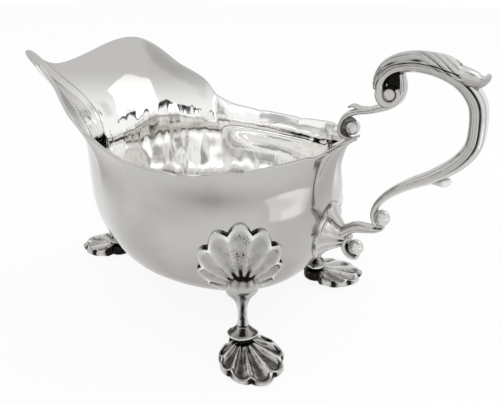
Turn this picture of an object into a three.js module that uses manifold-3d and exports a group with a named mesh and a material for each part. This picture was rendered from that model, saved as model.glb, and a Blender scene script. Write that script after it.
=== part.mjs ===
// Silver sauce jug: an oval bellied bowl drawn out into a broad pouring lip, three cast
// shell legs and a flying double-scroll handle with an acanthus leaf.
// Millimetres. +Z up, ground at z = 0, lip towards -X, handle towards +X, middle plane y = 0.
import * as THREE from "three";
import { mergeVertices } from "three/addons/utils/BufferGeometryUtils.js";
import Module from "manifold-3d";

// Fits
const GAP = 0.3; // clearance between two soldered pieces

// Bowl body
const BOWL_BOTTOM_Z = 13;
const BOWL_BOTTOM_X = -4;
const BELLY_Z = 50.5; // height of the widest section
const BELLY_X = -20; // station of the widest section
const BELLY_HALF_WIDTH = 46.4;
const BELLY_REAR_LENGTH = 51;
const BELLY_FRONT_LENGTH = 68;
const BELLY_REAR_FULLNESS = 2.13; // superellipse powers, 2 is an ellipse
const BELLY_FRONT_FULLNESS = 1.55;
const UNDERSIDE_REAR_FULLNESS = 2.2;
const UNDERSIDE_FRONT_FULLNESS = 3.0;
const WALL = 1.3;
const SHOULDER_RISE = 0.48; // how long the wall keeps climbing above the belly
const RIM_EVERT = 0.42; // outward turn of the rim behind the lip
const RIM_REACH = 0.56; // how far down the wall that turn is felt
const LIP_EVERT = 0.45; // outward turn of the lip
const RIM_FRONT_LENGTH = 74;
const LIP_FROM_X = -38; // station where the rim starts to open into the lip
const LIP_BLEND = 36;
const SCALLOP_RISE = 1.1; // height of the rim waves between two cusps
const SCALLOP_ROUNDNESS = 0.7;
const LUG_EVERT = 1.9; // outward turn of the pointed lug at the rear
const LUG_REACH = 0.34;
const LUG_HALF_WIDTH = 12;

// Rim edge of the half at +Y, from the handle round to the lip: x, y, z, cusp
const RIM_KNOTS = [
  { x: 38.9, y: 0, z: 78.4, cusp: true }, // pointed lug under the handle
  { x: 35.6, y: 3.9, z: 76.3 },
  { x: 33.4, y: 9.0, z: 75.0 },
  { x: 30.6, y: 14.5, z: 74.4, cusp: true },
  { x: 15.8, y: 36.8, z: 72.4, cusp: true },
  { x: -4.9, y: 45.0, z: 70.5, cusp: true },
  { x: -27.8, y: 45.9, z: 71.3, cusp: true },
  { x: -50.4, y: 42.0, z: 77.2, cusp: true }, // where the lip begins
  { x: -56.8, y: 42.5, z: 82.8 },
  { x: -68, y: 38.2, z: 90 },
  { x: -79.8, y: 33.7, z: 97 },
  { x: -88.5, y: 29.4, z: 100 }, // crest of the lip
  { x: -97.5, y: 23.8, z: 98.6 },
  { x: -108.5, y: 15.8, z: 94 },
  { x: -119, y: 8, z: 91 },
  { x: -126, y: 3.6, z: 90.8 },
  { x: -135.6, y: 0, z: 96 }, // beak of the lip
];
const LIP_TWIST = 3.4; // the +Y crest stands this much higher, the -Y crest lower
const LIP_TWIST_CENTRE_X = -96;
const LIP_TWIST_SPAN = 26;

// Legs
const REAR_LEG_X = 11.8;
const REAR_LEG_Y = 31.3;
const REAR_FOOT_ANGLE = 36; // degrees outward from +X
const SPOUT_LEG_X = -84.4;
const REAR_LEG_LEAN = 0.6; // the top of a stem stands this far inward of its foot
const SPOUT_LEG_LEAN = 9.1;
const FOOT_LENGTH = 22.9;
const FOOT_HEEL_RADIUS = 4.8;
const FOOT_LOBES = 7;
const FOOT_LOBE_ANGLE = 24.5; // degrees between two lobes
const FOOT_LOBE_SHORTENING = 0.12; // loss of reach of the lobe beside the middle one
const FOOT_LOBE_FALL = 1.33; // power by which the further lobes shorten
const FOOT_LOBE_DEPTH = 0.085; // share of the reach that a notch between lobes takes
const FOOT_HEEL_Z = 4.6;
const FOOT_EDGE_Z = 1.5;
const FOOT_SLOPE_POWER = 0.8;
const FOOT_RIDGE_HEIGHT = 0.7; // ridges run to the notches, hollows to the lobes
const COLLAR_HEIGHT = 6;
const COLLAR_RADIUS = 5.4;
const COLLAR_NECK_RADIUS = 3.6;
const STEM_WAIST_RADIUS = 1.8;
const STEM_FOOT_RADIUS = 2.1;
const STEM_TOP_RADIUS = 5.6;
const STEM_TOP_MARGIN = 12;

// Knee shells on the bowl
const KNEE_HEIGHT = 27.5;
const KNEE_SQUEEZE = 0.8; // width of the shell as a share of an even fan
const KNEE_BASE_RADIUS = 5.5;
const KNEE_LOBES = 9;
const KNEE_LOBE_ANGLE = 18.5; // degrees between two lobes
const KNEE_LOBE_SHORTENING = 0.07;
const KNEE_LOBE_FALL = 1.5;
const KNEE_LOBE_DEPTH = 0.1;
const KNEE_THICKNESS = 0.9;
const KNEE_RIDGE_HEIGHT = 0.5;
const KNEE_EDGE_HEIGHT = 0.7;
const KNEE_EDGE_FROM = 0.75; // share of the reach where the raised edge begins

// Fluted plate on the bowl behind the lower handle joint
const PLATE_RADIUS = 12;
const PLATE_Z = 41.6;
const PLATE_THICKNESS = 0.8;
const PLATE_DOME = 3.9; // height of the dome that the handle springs from
const PLATE_DOME_SPREAD = 0.3; // share of the radius
const PLATE_SQUEEZE = 0.86;
const PLATE_LOBES = 12;
const PLATE_LOBE_DEPTH = 0.06;
const PLATE_RIDGE_HEIGHT = 0.35;

// Handle, drawn in the middle plane: x, z, half thickness in the plane, half width across it
const SCROLL_KNOTS = [
  { x: 45.0, z: 95.6, thick: 1.3, wide: 3.0 },
  { x: 44.7, z: 98.4, thick: 1.4, wide: 3.2 },
  { x: 45.8, z: 101.2, thick: 1.5, wide: 3.4 },
  { x: 48.6, z: 103.7, thick: 1.9, wide: 3.6 },
  { x: 53.2, z: 105.0, thick: 2.3, wide: 3.8 },
  { x: 58.8, z: 105.1, thick: 2.4, wide: 3.9 },
  { x: 65.2, z: 103.2, thick: 2.3, wide: 3.9 },
  { x: 70.8, z: 100.2, thick: 2.5, wide: 3.9 },
  { x: 75.0, z: 95.1, thick: 2.8, wide: 3.8 },
  { x: 76.5, z: 88.2, thick: 2.8, wide: 3.7 },
  { x: 75.7, z: 81.8, thick: 2.8, wide: 3.6 },
  { x: 72.2, z: 76.2, thick: 2.6, wide: 3.4 },
  { x: 65.7, z: 70.8, thick: 2.3, wide: 3.2 },
  { x: 57.9, z: 66.1, thick: 1.9, wide: 3.0 },
  { x: 52.2, z: 61.8, thick: 1.6, wide: 2.9 },
  { x: 48.4, z: 57.2, thick: 1.3, wide: 2.8 },
  { x: 47.1, z: 53.2, thick: 1.0, wide: 2.7 },
  { x: 47.8, z: 50.0, thick: 0.8, wide: 2.5 },
];
const SCROLL_GROOVE = 0.16; // depth of the channel along the outer side, share of the section
const SCROLL_GROOVE_WIDTH = 0.5; // radians of the section's turn
const SCROLL_STEPS = 38;

// Acanthus leaf laid on the top of the handle scroll
const LEAF_START = 0.045; // shares of the scroll's length
const LEAF_END = 0.352;
const LEAF_THICKNESS = 1.3;
const LEAF_WRAP = 95; // degrees each side of the ridge
const LEAF_TIP_LIFT = 3.2;
const LEAF_TIP_FROM = 0.84; // share of the leaf's length where the tip leaves the scroll
const LEAF_SWELL = 1.4; // the leaf thickens by this much before its hooked tip
const LEAF_SWELL_FROM = 0.62;
const LEAF_TIP_WIDTH = 0.34; // share of the full wrap left at the tip
const LEAF_ROOT_WIDTH = 0.6;
const LEAF_TAPER_FROM = 0.6;
const LEAF_ROOT_TO = 0.15;
const LEAF_LOBES = 5;
const LEAF_LOBE_DEPTH = 0.22;
const LEAF_VEIN_DEPTH = 0.25;
const LEAF_STEPS = 18;
const LEAF_SIDES = 6;

// Coil at the upper end of the scroll, with the recessed web inside the curl
const COIL_X = 47.6;
const COIL_Z = 95.0;
const COIL_TURNS = 0.55;
const COIL_END_REACH = 1.3;
const COIL_TIGHTENING = 0.7;
const COIL_START_THICK = 1.3;
const COIL_END_THICK = 0.7;
const COIL_HALF_WIDTH = 3.1;
const COIL_EYE_RADIUS = 1.9;
const COIL_EYE_HALF_WIDTH = 2.7;
const WEB_X = 49.0;
const WEB_Z = 99.0;
const WEB_RADIUS = 3.0;
const WEB_HALF_WIDTH = 1.1;

// Bracket between the rim and the coil
const RIM_BRACKET_KNOTS = [
  { x: 36.8, z: 78.9, thick: 0.4, wide: 1.2 }, // foot turned outward on the rim leaf
  { x: 34.9, z: 78.9, thick: 0.7, wide: 2.0 },
  { x: 32.9, z: 79.9, thick: 0.9, wide: 2.4 },
  { x: 32.3, z: 82.2, thick: 0.8, wide: 2.3 },
  { x: 33.2, z: 85.0, thick: 0.9, wide: 2.2 },
  { x: 35.2, z: 87.1, thick: 1.1, wide: 2.2 },
  { x: 38.2, z: 88.3, thick: 1.1, wide: 2.2 },
  { x: 42.2, z: 89.2, thick: 1.2, wide: 2.3 },
  { x: 46.1, z: 90.6, thick: 1.4, wide: 2.6 },
  { x: 49.2, z: 92.4, thick: 1.4, wide: 2.8 },
  { x: 50.9, z: 95.0, thick: 1.2, wide: 2.8 },
  { x: 51.4, z: 97.6, thick: 0.9, wide: 2.6 }, // curls up beside the coil
];
const RIM_SPUR_KNOTS = [
  { x: 41.6, z: 89.6, thick: 0.7, wide: 1.7 },
  { x: 38.6, z: 89.5, thick: 0.7, wide: 1.7 },
  { x: 36.3, z: 90.1, thick: 0.6, wide: 1.5 },
  { x: 34.8, z: 89.4, thick: 0.4, wide: 1.0 }, // small leaf tip that peels off the bracket
];
const RIM_BALL_X = 36.4;
const RIM_BALL_Z = 82.7;
const RIM_BALL_RADIUS = 2.9;

// Leaf plate on the rim lug
const RIM_LEAF_LENGTH = 9.5;
const RIM_LEAF_WIDTH = 8;
const RIM_LEAF_THICKNESS = 1.0;
const RIM_LEAF_TIP_X = 39.6;
const RIM_LEAF_TIP_Z = 79.6;
const RIM_LEAF_SLOPE = 0.5;
const RIM_LEAF_STEPS = 10;
const RIM_LEAF_SHOULDER = 0.8; // width and height of the upper face, shares of the lower one

// Bracket between the lower end of the scroll and the fluted plate
const BASE_BRACKET_KNOTS = [
  { x: 50.9, z: 47.9, thick: 0.5, wide: 2.2 },
  { x: 48.2, z: 47.0, thick: 1.2, wide: 2.5 },
  { x: 44.4, z: 46.5, thick: 1.7, wide: 2.6 },
  { x: 40.9, z: 46.0, thick: 1.9, wide: 2.8 },
  { x: 37.9, z: 44.2, thick: 2.0, wide: 3.1 },
  { x: 35.2, z: 42.2, thick: 2.4, wide: 3.6 },
  { x: 32.6, z: 41.4, thick: 2.8, wide: 3.9 },
];
const BASE_BALL_X = 41.5;
const BASE_BALL_Z = 37.8;
const BASE_BALL_RADIUS = 3.0;
const BASE_TAIL_START_REACH = 4.6; // the tail hugs the ball and thins towards its end
const BASE_TAIL_END_REACH = 3.8;
const BASE_TAIL_START_THICK = 1.1;
const BASE_TAIL_END_THICK = 0.45;
const BASE_TAIL_FROM = 128; // degrees round the ball
const BASE_TAIL_TO = 285;
const BASE_TAIL_HALF_WIDTH = 2.4;
const LOWER_KNOB_X = 50.0;
const LOWER_KNOB_Z = 51.8;
const LOWER_KNOB_RADIUS = 3.0;

// Small leaf tip that peels off the underside of the scroll
const SPUR_KNOTS = [
  { x: 62.6, z: 66.3, thick: 0.5, wide: 1.7 },
  { x: 66.2, z: 67.5, thick: 0.9, wide: 1.9 },
  { x: 69.4, z: 68.3, thick: 0.9, wide: 1.7 },
  { x: 71.6, z: 68.9, thick: 0.6, wide: 1.2 },
];

// Mesh fineness
const BOWL_STEPS_AROUND = 68;
const BOWL_STEPS_UP = 7;
const LOBE_STEPS = 4; // steps over one lobe of a shell
const HEEL_STEPS = 8; // steps over the plain side of a shell
const SHELL_RINGS = 3;
const SWEEP_SIDES = 10;
const BRACKET_STEPS = 16;
const LATHE_SIDES = 14;
const BALL_SIDES = 12;
const PATCH_STEPS = 240;
const SLOPE_STEP = 0.004; // share over which a direction is taken
const SEARCH_STEP = 0.001;
const MERGE_DISTANCE = 1e-4;

const SILVER = { color: 0xc9c8c3, roughness: 0.22, metalness: 1 };
const CAST_SILVER = { color: 0xbdbcb6, roughness: 0.3, metalness: 1 };

const RADIANS = Math.PI / 180;
const FULL_TURN = 2 * Math.PI;
const wasm = await Module();
wasm.setup();

// Small helpers

const mix = (a, b, t) => a + (b - a) * t;
const ease = (t) => t * t * (3 - 2 * t);
const clamp01 = (t) => Math.min(1, Math.max(0, t));
const signedPower = (v, e) => Math.sign(v) * Math.abs(v) ** e;
const wrapped = (turn) => Math.atan2(Math.sin(turn), Math.cos(turn));

/** Value on a smooth line through knots; every numeric field is interpolated. */
function onKnots(knots, t, chords) {
  const at = clamp01(t) * chords[chords.length - 1];
  let i = 0;
  while (i < knots.length - 2 && chords[i + 1] < at) i += 1;
  const span = chords[i + 1] - chords[i];
  const f = (at - chords[i]) / span;
  const result = {};
  for (const key of Object.keys(knots[i])) {
    if (typeof knots[i][key] !== "number") continue;
    const slope = (k) => {
      if (k <= 0 || k >= knots.length - 1) {
        const a = k <= 0 ? 0 : knots.length - 2;
        return (knots[a + 1][key] - knots[a][key]) / (chords[a + 1] - chords[a]);
      }
      return (knots[k + 1][key] - knots[k - 1][key]) / (chords[k + 1] - chords[k - 1]);
    };
    const p0 = knots[i][key];
    const p1 = knots[i + 1][key];
    const m0 = slope(i) * span;
    const m1 = slope(i + 1) * span;
    const f2 = f * f;
    const f3 = f2 * f;
    result[key] = (2 * f3 - 3 * f2 + 1) * p0 + (f3 - 2 * f2 + f) * m0
      + (3 * f2 - 2 * f3) * p1 + (f3 - f2) * m1;
  }
  return result;
}

/** Running chord lengths of a list of knots. */
function chordLengths(knots) {
  const lengths = [0];
  for (let i = 1; i < knots.length; i += 1) {
    const a = knots[i - 1];
    const b = knots[i];
    lengths.push(lengths[i - 1] + Math.hypot(b.x - a.x, (b.y ?? 0) - (a.y ?? 0), b.z - a.z));
  }
  return lengths;
}

/** Closed body from rings of equal length between two end points. */
function loft(rings, first, last) {
  const count = rings[0].length;
  const points = [first, ...rings.flat(), last];
  const faces = [];
  const at = (r, k) => 1 + r * count + (k % count);
  for (let k = 0; k < count; k += 1) {
    faces.push(0, at(0, k + 1), at(0, k));
    faces.push(points.length - 1, at(rings.length - 1, k), at(rings.length - 1, k + 1));
    for (let r = 0; r < rings.length - 1; r += 1) {
      faces.push(at(r, k), at(r, k + 1), at(r + 1, k));
      faces.push(at(r, k + 1), at(r + 1, k + 1), at(r + 1, k));
    }
  }
  const geometry = new THREE.BufferGeometry();
  const flat = points.flatMap((p) => [p.x, p.y, p.z]);
  geometry.setAttribute("position", new THREE.Float32BufferAttribute(flat, 3));
  geometry.setIndex(faces);
  return outward(mergeVertices(geometry, MERGE_DISTANCE));
}

/** The geometry with its faces turned outward. */
function outward(geometry) {
  const p = geometry.attributes.position;
  const index = geometry.index.array;
  const a = new THREE.Vector3();
  const b = new THREE.Vector3();
  const c = new THREE.Vector3();
  let volume = 0;
  for (let i = 0; i < index.length; i += 3) {
    a.fromBufferAttribute(p, index[i]);
    b.fromBufferAttribute(p, index[i + 1]);
    c.fromBufferAttribute(p, index[i + 2]);
    volume += a.dot(b.cross(c));
  }
  if (volume < 0) {
    for (let i = 0; i < index.length; i += 3) {
      [index[i], index[i + 1]] = [index[i + 1], index[i]];
    }
  }
  return geometry;
}

/** Solid for the boolean steps. */
function toSolid(geometry) {
  let g = geometry.clone();
  g.deleteAttribute("normal");
  g.deleteAttribute("uv");
  g = mergeVertices(g, MERGE_DISTANCE);
  return new wasm.Manifold(new wasm.Mesh({
    numProp: 3,
    vertProperties: new Float32Array(g.attributes.position.array),
    triVerts: new Uint32Array(g.index.array),
  }));
}

/** Geometry of a solid. */
function fromSolid(solid) {
  const mesh = solid.getMesh();
  const geometry = new THREE.BufferGeometry();
  geometry.setAttribute("position", new THREE.Float32BufferAttribute(mesh.vertProperties, 3));
  geometry.setIndex(Array.from(mesh.triVerts));
  return geometry;
}

/** Named mesh with its own material. */
function piece(name, geometry, finish = CAST_SILVER) {
  const shown = geometry.clone();
  shown.computeVertexNormals();
  const mesh = new THREE.Mesh(shown, new THREE.MeshStandardMaterial(finish));
  mesh.name = name;
  return mesh;
}

// Bowl surface

const RIM_CHORDS = chordLengths(RIM_KNOTS);
const CUSP_SHARES = RIM_KNOTS.flatMap(
  (knot, i) => (knot.cusp ? [RIM_CHORDS[i] / RIM_CHORDS.at(-1)] : []),
);

/** Rim edge at a share of the half rim, on the side given by +1 or -1. */
function rimPoint(share, side) {
  const p = onKnots(RIM_KNOTS, share, RIM_CHORDS);
  let wave = 0;
  for (let i = 0; i < CUSP_SHARES.length - 1; i += 1) {
    const f = (share - CUSP_SHARES[i]) / (CUSP_SHARES[i + 1] - CUSP_SHARES[i]);
    if (f > 0 && f < 1) wave = SCALLOP_RISE * Math.sin(Math.PI * f) ** SCALLOP_ROUNDNESS;
  }
  const away = (p.x - LIP_TWIST_CENTRE_X) / LIP_TWIST_SPAN;
  const twist = LIP_TWIST * Math.max(0, 1 - away * away) ** 1.5;
  return new THREE.Vector3(p.x, side * Math.max(0, p.y), p.z + wave + side * twist);
}

/** Widest section of the bowl in the direction of a rim point. */
function bellyPoint(rim, side) {
  const back = rim.x > BELLY_X;
  const along = (rim.x - BELLY_X) / (back ? RIM_KNOTS[0].x - BELLY_X : RIM_FRONT_LENGTH);
  const angle = Math.atan2(Math.abs(rim.y) / BELLY_HALF_WIDTH, along);
  const fullness = back ? BELLY_REAR_FULLNESS : BELLY_FRONT_FULLNESS;
  const length = back ? BELLY_REAR_LENGTH : BELLY_FRONT_LENGTH;
  return new THREE.Vector3(
    BELLY_X + length * signedPower(Math.cos(angle), 2 / fullness),
    side * BELLY_HALF_WIDTH * Math.sin(angle) ** (2 / fullness),
    BELLY_Z,
  );
}

/**
 * Outer face of the bowl. round runs 0 (handle) .. 1 (beak) along +Y and on to 2 along -Y;
 * up runs 0 (bottom) .. 0.5 (belly) .. 1 (rim).
 */
function bowlPoint(round, up) {
  const turn = ((round % 2) + 2) % 2;
  const side = turn <= 1 ? 1 : -1;
  const share = turn <= 1 ? turn : 2 - turn;
  const rim = rimPoint(share, side);
  const belly = bellyPoint(rim, side);
  if (up < 0.5) {
    const angle = up * Math.PI;
    const fullness = mix(UNDERSIDE_REAR_FULLNESS, UNDERSIDE_FRONT_FULLNESS, ease(share));
    const reach = Math.sin(angle) ** (2 / fullness);
    const drop = Math.cos(angle) ** (2 / fullness);
    return new THREE.Vector3(
      mix(BOWL_BOTTOM_X, belly.x, reach),
      belly.y * reach,
      BELLY_Z - (BELLY_Z - BOWL_BOTTOM_Z) * drop,
    );
  }
  const out = new THREE.Vector3(belly.x - BELLY_X, belly.y, 0).normalize();
  const span = rim.clone().sub(belly);
  const length = span.length();
  const lipness = ease(clamp01((LIP_FROM_X - rim.x) / LIP_BLEND));
  const lugness = rim.x > BELLY_X ? ease(clamp01(1 - Math.abs(rim.y) / LUG_HALF_WIDTH)) : 0;
  const evert = mix(RIM_EVERT, LUG_EVERT, lugness);
  const plain = new THREE.Vector3(0, 0, 1).addScaledVector(out, evert);
  const lip = span.clone().normalize().addScaledVector(out, LIP_EVERT);
  const leave = plain.lerp(lip, lipness).normalize();
  const p1 = belly.clone().add(new THREE.Vector3(0, 0, length * SHOULDER_RISE));
  const p2 = rim.clone().addScaledVector(leave, -length * mix(RIM_REACH, LUG_REACH, lugness));
  return new THREE.CubicBezierCurve3(belly, p1, p2, rim).getPoint(2 * up - 1);
}

/** Outward unit normal of the bowl's outer face. */
function bowlNormal(round, up) {
  if (up <= 0) return new THREE.Vector3(0, 0, -1);
  const along = bowlPoint(round + SLOPE_STEP, up).sub(bowlPoint(round - SLOPE_STEP, up));
  const low = Math.max(up - SLOPE_STEP, SEARCH_STEP);
  const high = Math.min(up + SLOPE_STEP, 1);
  const rise = bowlPoint(round, high).sub(bowlPoint(round, low));
  return along.cross(rise).normalize();
}

/** Point at a distance outside the bowl's outer face. */
function offBowl(round, up, distance) {
  return bowlPoint(round, up).addScaledVector(bowlNormal(round, up), distance);
}

/** Rings of the bowl's face at a distance, bottom first. */
function bowlRings(distance) {
  const rings = [];
  for (let i = 1; i <= 2 * BOWL_STEPS_UP; i += 1) {
    const ring = [];
    for (let k = 0; k < BOWL_STEPS_AROUND; k += 1) {
      ring.push(offBowl((2 * k) / BOWL_STEPS_AROUND, i / (2 * BOWL_STEPS_UP), distance));
    }
    rings.push(ring);
  }
  return rings;
}

/** Raised bowl with its lip, optionally grown on both faces. */
function bowlGeometry(extra) {
  const outer = bowlRings(extra);
  const inner = bowlRings(-WALL - extra).reverse();
  const bottom = new THREE.Vector3(BOWL_BOTTOM_X, 0, BOWL_BOTTOM_Z - extra);
  const floor = new THREE.Vector3(BOWL_BOTTOM_X, 0, BOWL_BOTTOM_Z + WALL + extra);
  return loft([...outer, ...inner], bottom, floor);
}

/** Room that the rim takes, with clearance above and on both sides. */
function rimRoomSolid() {
  const grown = toSolid(bowlGeometry(GAP));
  return grown.add(grown.translate([0, 0, GAP]));
}

/** Filled bowl, a distance larger than the real one, used to trim what sits on it. */
function bowlEnvelope(distance) {
  const rings = bowlRings(distance);
  const bottom = new THREE.Vector3(BOWL_BOTTOM_X, 0, BOWL_BOTTOM_Z - distance);
  const middle = new THREE.Vector3(BELLY_X, 0, BELLY_Z);
  return toSolid(loft(rings, bottom, middle));
}

/** Place on the bowl's face: round and up under a plan position. */
function bowlPlaceUnder(x, y) {
  const wanted = Math.atan2(y, x - BOWL_BOTTOM_X);
  let round = 0;
  let best = Infinity;
  for (let at = 0; at < 2; at += SEARCH_STEP) {
    const p = bowlPoint(at, 0.5);
    const miss = Math.abs(wrapped(Math.atan2(p.y, p.x - BOWL_BOTTOM_X) - wanted));
    if (miss < best) [best, round] = [miss, at];
  }
  const reach = Math.hypot(x - BOWL_BOTTOM_X, y);
  let up = 0;
  while (up < 0.5) {
    const p = bowlPoint(round, up);
    if (Math.hypot(p.x - BOWL_BOTTOM_X, p.y) >= reach) break;
    up += SEARCH_STEP;
  }
  return { round, up };
}

/** Running lengths of a line given by a function of a share, over equal steps. */
function runningLengths(line, steps) {
  const lengths = [0];
  for (let i = 1; i <= steps; i += 1) {
    lengths.push(lengths[i - 1] + line((i - 1) / steps).distanceTo(line(i / steps)));
  }
  return lengths;
}

/** Share of a line at a length, from its running lengths. */
function shareAt(lengths, length) {
  let i = 0;
  while (i < lengths.length - 2 && lengths[i + 1] < length) i += 1;
  return (i + (length - lengths[i]) / (lengths[i + 1] - lengths[i])) / (lengths.length - 1);
}

/** Patch coordinates on the bowl: millimetres across and up the face from a place on it. */
function bowlPatch(place) {
  const climb = runningLengths((share) => bowlPoint(place.round, share), PATCH_STEPS);
  const girth = runningLengths(
    (share) => bowlPoint(place.round - 0.5 + share, place.up), PATCH_STEPS,
  );
  const startUp = climb[Math.round(place.up * PATCH_STEPS)];
  const startRound = girth[PATCH_STEPS / 2];
  return (x, y, distance) => offBowl(
    place.round - 0.5 + shareAt(girth, startRound + x), shareAt(climb, startUp + y), distance,
  );
}

/** Turns at which a shell with a number of lobes is drawn, evenly over lobes and heel. */
function shellTurns(lobes, lobeAngle, middle) {
  const half = 0.5 * lobes * lobeAngle;
  const turns = [];
  for (let k = 0; k < lobes * LOBE_STEPS; k += 1) {
    turns.push(middle - half + (k / LOBE_STEPS) * lobeAngle);
  }
  for (let k = 0; k < HEEL_STEPS; k += 1) {
    turns.push(middle + half + (k / HEEL_STEPS) * (FULL_TURN - 2 * half));
  }
  return turns;
}

/** Reach of a rounded lobe edge; lobe counts 0, 1, 2 from the middle one to either side. */
function lobeEdge(lobe, { length, shortening, fall, depth }) {
  const notch = depth * (1 - Math.abs(Math.cos(Math.PI * lobe)));
  return length * (1 - shortening * Math.abs(lobe) ** fall) * (1 - notch);
}

/** Solid between a face and a back over an outline seen from its inner point. */
function shell(turns, outline, face, back) {
  const ringAt = (surface, share) => turns.map((turn) => {
    const reach = outline(turn) * share;
    return surface(reach * Math.cos(turn), reach * Math.sin(turn), share, turn);
  });
  const shares = Array.from({ length: SHELL_RINGS }, (_, i) => (i + 1) / SHELL_RINGS);
  const rings = [...shares.map((share) => ringAt(face, share)), ringAt(back, 1)];
  return loft(rings, face(0, 0, 0, 0), back(0, 0, 0, 0));
}

/** Solid swept along knots in the middle plane. */
function sweep(knots, steps, { extra = 0, groove = 0 } = {}) {
  const chords = chordLengths(knots);
  const rings = [];
  for (let i = 0; i <= steps; i += 1) {
    const place = sweepPlace(knots, chords, i / steps);
    const ring = [];
    for (let k = 0; k < SWEEP_SIDES; k += 1) {
      ring.push(sweepPoint(place, (FULL_TURN * k) / SWEEP_SIDES, extra, groove));
    }
    rings.push(ring);
  }
  growEnd(rings[0], rings[1], extra);
  growEnd(rings.at(-1), rings.at(-2), extra);
  const centre = (ring) => ring.reduce((sum, p) => sum.add(p), new THREE.Vector3())
    .divideScalar(ring.length);
  return loft(rings, centre(rings[0]), centre(rings.at(-1)));
}

/** Moves an end ring away from its neighbour. */
function growEnd(ring, neighbour, distance) {
  const away = ring[0].clone().sub(neighbour[0]).normalize().multiplyScalar(distance);
  for (const point of ring) point.add(away);
}

/** Position, outward direction and half sizes of a sweep at a share of its length. */
function sweepPlace(knots, chords, share) {
  const here = onKnots(knots, share, chords);
  const before = onKnots(knots, Math.max(0, share - SLOPE_STEP), chords);
  const after = onKnots(knots, Math.min(1, share + SLOPE_STEP), chords);
  const along = new THREE.Vector3(after.x - before.x, 0, after.z - before.z).normalize();
  return { here, outward: new THREE.Vector3(-along.z, 0, along.x) };
}

/** Point of a swept face; turn 0 is the outward side of the curve. */
function sweepPoint({ here, outward: out }, turn, extra, groove) {
  const channel = 1 - groove * Math.exp(-((wrapped(turn) / SCROLL_GROOVE_WIDTH) ** 2));
  const point = new THREE.Vector3(here.x, 0, here.z);
  point.addScaledVector(out, (here.thick * channel + extra) * Math.cos(turn));
  point.y = (here.wide + extra) * Math.sin(turn);
  return point;
}

// Legs and their shells

/** The three legs: name, foot place, outward direction and lean. */
const REAR_ANGLE = REAR_FOOT_ANGLE * RADIANS;
const LEGS = [
  { name: "spout", x: SPOUT_LEG_X, y: 0, angle: Math.PI, lean: SPOUT_LEG_LEAN },
  { name: "left", x: REAR_LEG_X, y: -REAR_LEG_Y, angle: -REAR_ANGLE, lean: REAR_LEG_LEAN },
  { name: "right", x: REAR_LEG_X, y: REAR_LEG_Y, angle: REAR_ANGLE, lean: REAR_LEG_LEAN },
];

const FOOT_EDGE = {
  length: FOOT_LENGTH,
  shortening: FOOT_LOBE_SHORTENING,
  fall: FOOT_LOBE_FALL,
  depth: FOOT_LOBE_DEPTH,
};
const KNEE_EDGE = {
  length: KNEE_HEIGHT,
  shortening: KNEE_LOBE_SHORTENING,
  fall: KNEE_LOBE_FALL,
  depth: KNEE_LOBE_DEPTH,
};

/** Which lobe a turn falls on, counted from the middle one, and whether it is on the fan. */
function lobeAt(turn, middle, lobeAngle, lobes) {
  const lobe = wrapped(turn - middle) / lobeAngle;
  return { lobe, onFan: Math.abs(lobe) < lobes / 2 };
}

/** Ridge between two lobes, 0 in the middle of a lobe and 1 at its notches. */
const ridgeAt = (lobe) => 0.5 - 0.5 * Math.cos(FULL_TURN * lobe);

/** Fluted shell foot, flat underneath. */
function makeFoot(leg) {
  const lobeAngle = FOOT_LOBE_ANGLE * RADIANS;
  const outline = (turn) => {
    const { lobe, onFan } = lobeAt(turn, 0, lobeAngle, FOOT_LOBES);
    return Math.max(FOOT_HEEL_RADIUS, onFan ? lobeEdge(lobe, FOOT_EDGE) : 0);
  };
  const top = (x, y, share, turn) => {
    const { lobe, onFan } = lobeAt(turn, 0, lobeAngle, FOOT_LOBES);
    const reach = Math.hypot(x, y);
    const fall = clamp01((reach - FOOT_HEEL_RADIUS) / (FOOT_LENGTH - FOOT_HEEL_RADIUS));
    const ridge = onFan ? FOOT_RIDGE_HEIGHT * (ridgeAt(lobe) - 1) * ease(clamp01(2 * fall)) : 0;
    return new THREE.Vector3(x, y, mix(FOOT_HEEL_Z, FOOT_EDGE_Z, fall ** FOOT_SLOPE_POWER) + ridge);
  };
  const turns = shellTurns(FOOT_LOBES, lobeAngle, 0);
  const foot = shell(turns, outline, top, (x, y) => new THREE.Vector3(x, y, 0));
  foot.rotateZ(leg.angle);
  foot.translate(leg.x, leg.y, 0);
  return piece(`${leg.name}_foot_shell`, foot);
}

/** Turned collar between the foot and the stem: neck, wide edge and hollow upper slope. */
function makeCollar(leg) {
  const base = FOOT_HEEL_Z + GAP;
  const slope = (share) => mix(COLLAR_RADIUS, STEM_FOOT_RADIUS, share);
  const outline = [
    [0, 0], [COLLAR_NECK_RADIUS, 0], [COLLAR_NECK_RADIUS, 0.16], [COLLAR_RADIUS, 0.34],
    [slope(0.1), 0.46], [slope(0.6), 0.64], [slope(0.9), 0.82], [slope(1), 1], [0, 1],
  ];
  const collar = new THREE.LatheGeometry(
    outline.map(([radius, up]) => new THREE.Vector2(radius, base + up * COLLAR_HEIGHT)),
    LATHE_SIDES,
  );
  collar.rotateX(Math.PI / 2);
  collar.translate(leg.x, leg.y, 0);
  return piece(`${leg.name}_leg_collar`, fromSolid(toSolid(collar)));
}

/** Place on the bowl above a leg. */
function kneePlace(leg) {
  const x = leg.x - leg.lean * Math.cos(leg.angle);
  const y = leg.y - leg.lean * Math.sin(leg.angle);
  return bowlPlaceUnder(x, y);
}

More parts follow.
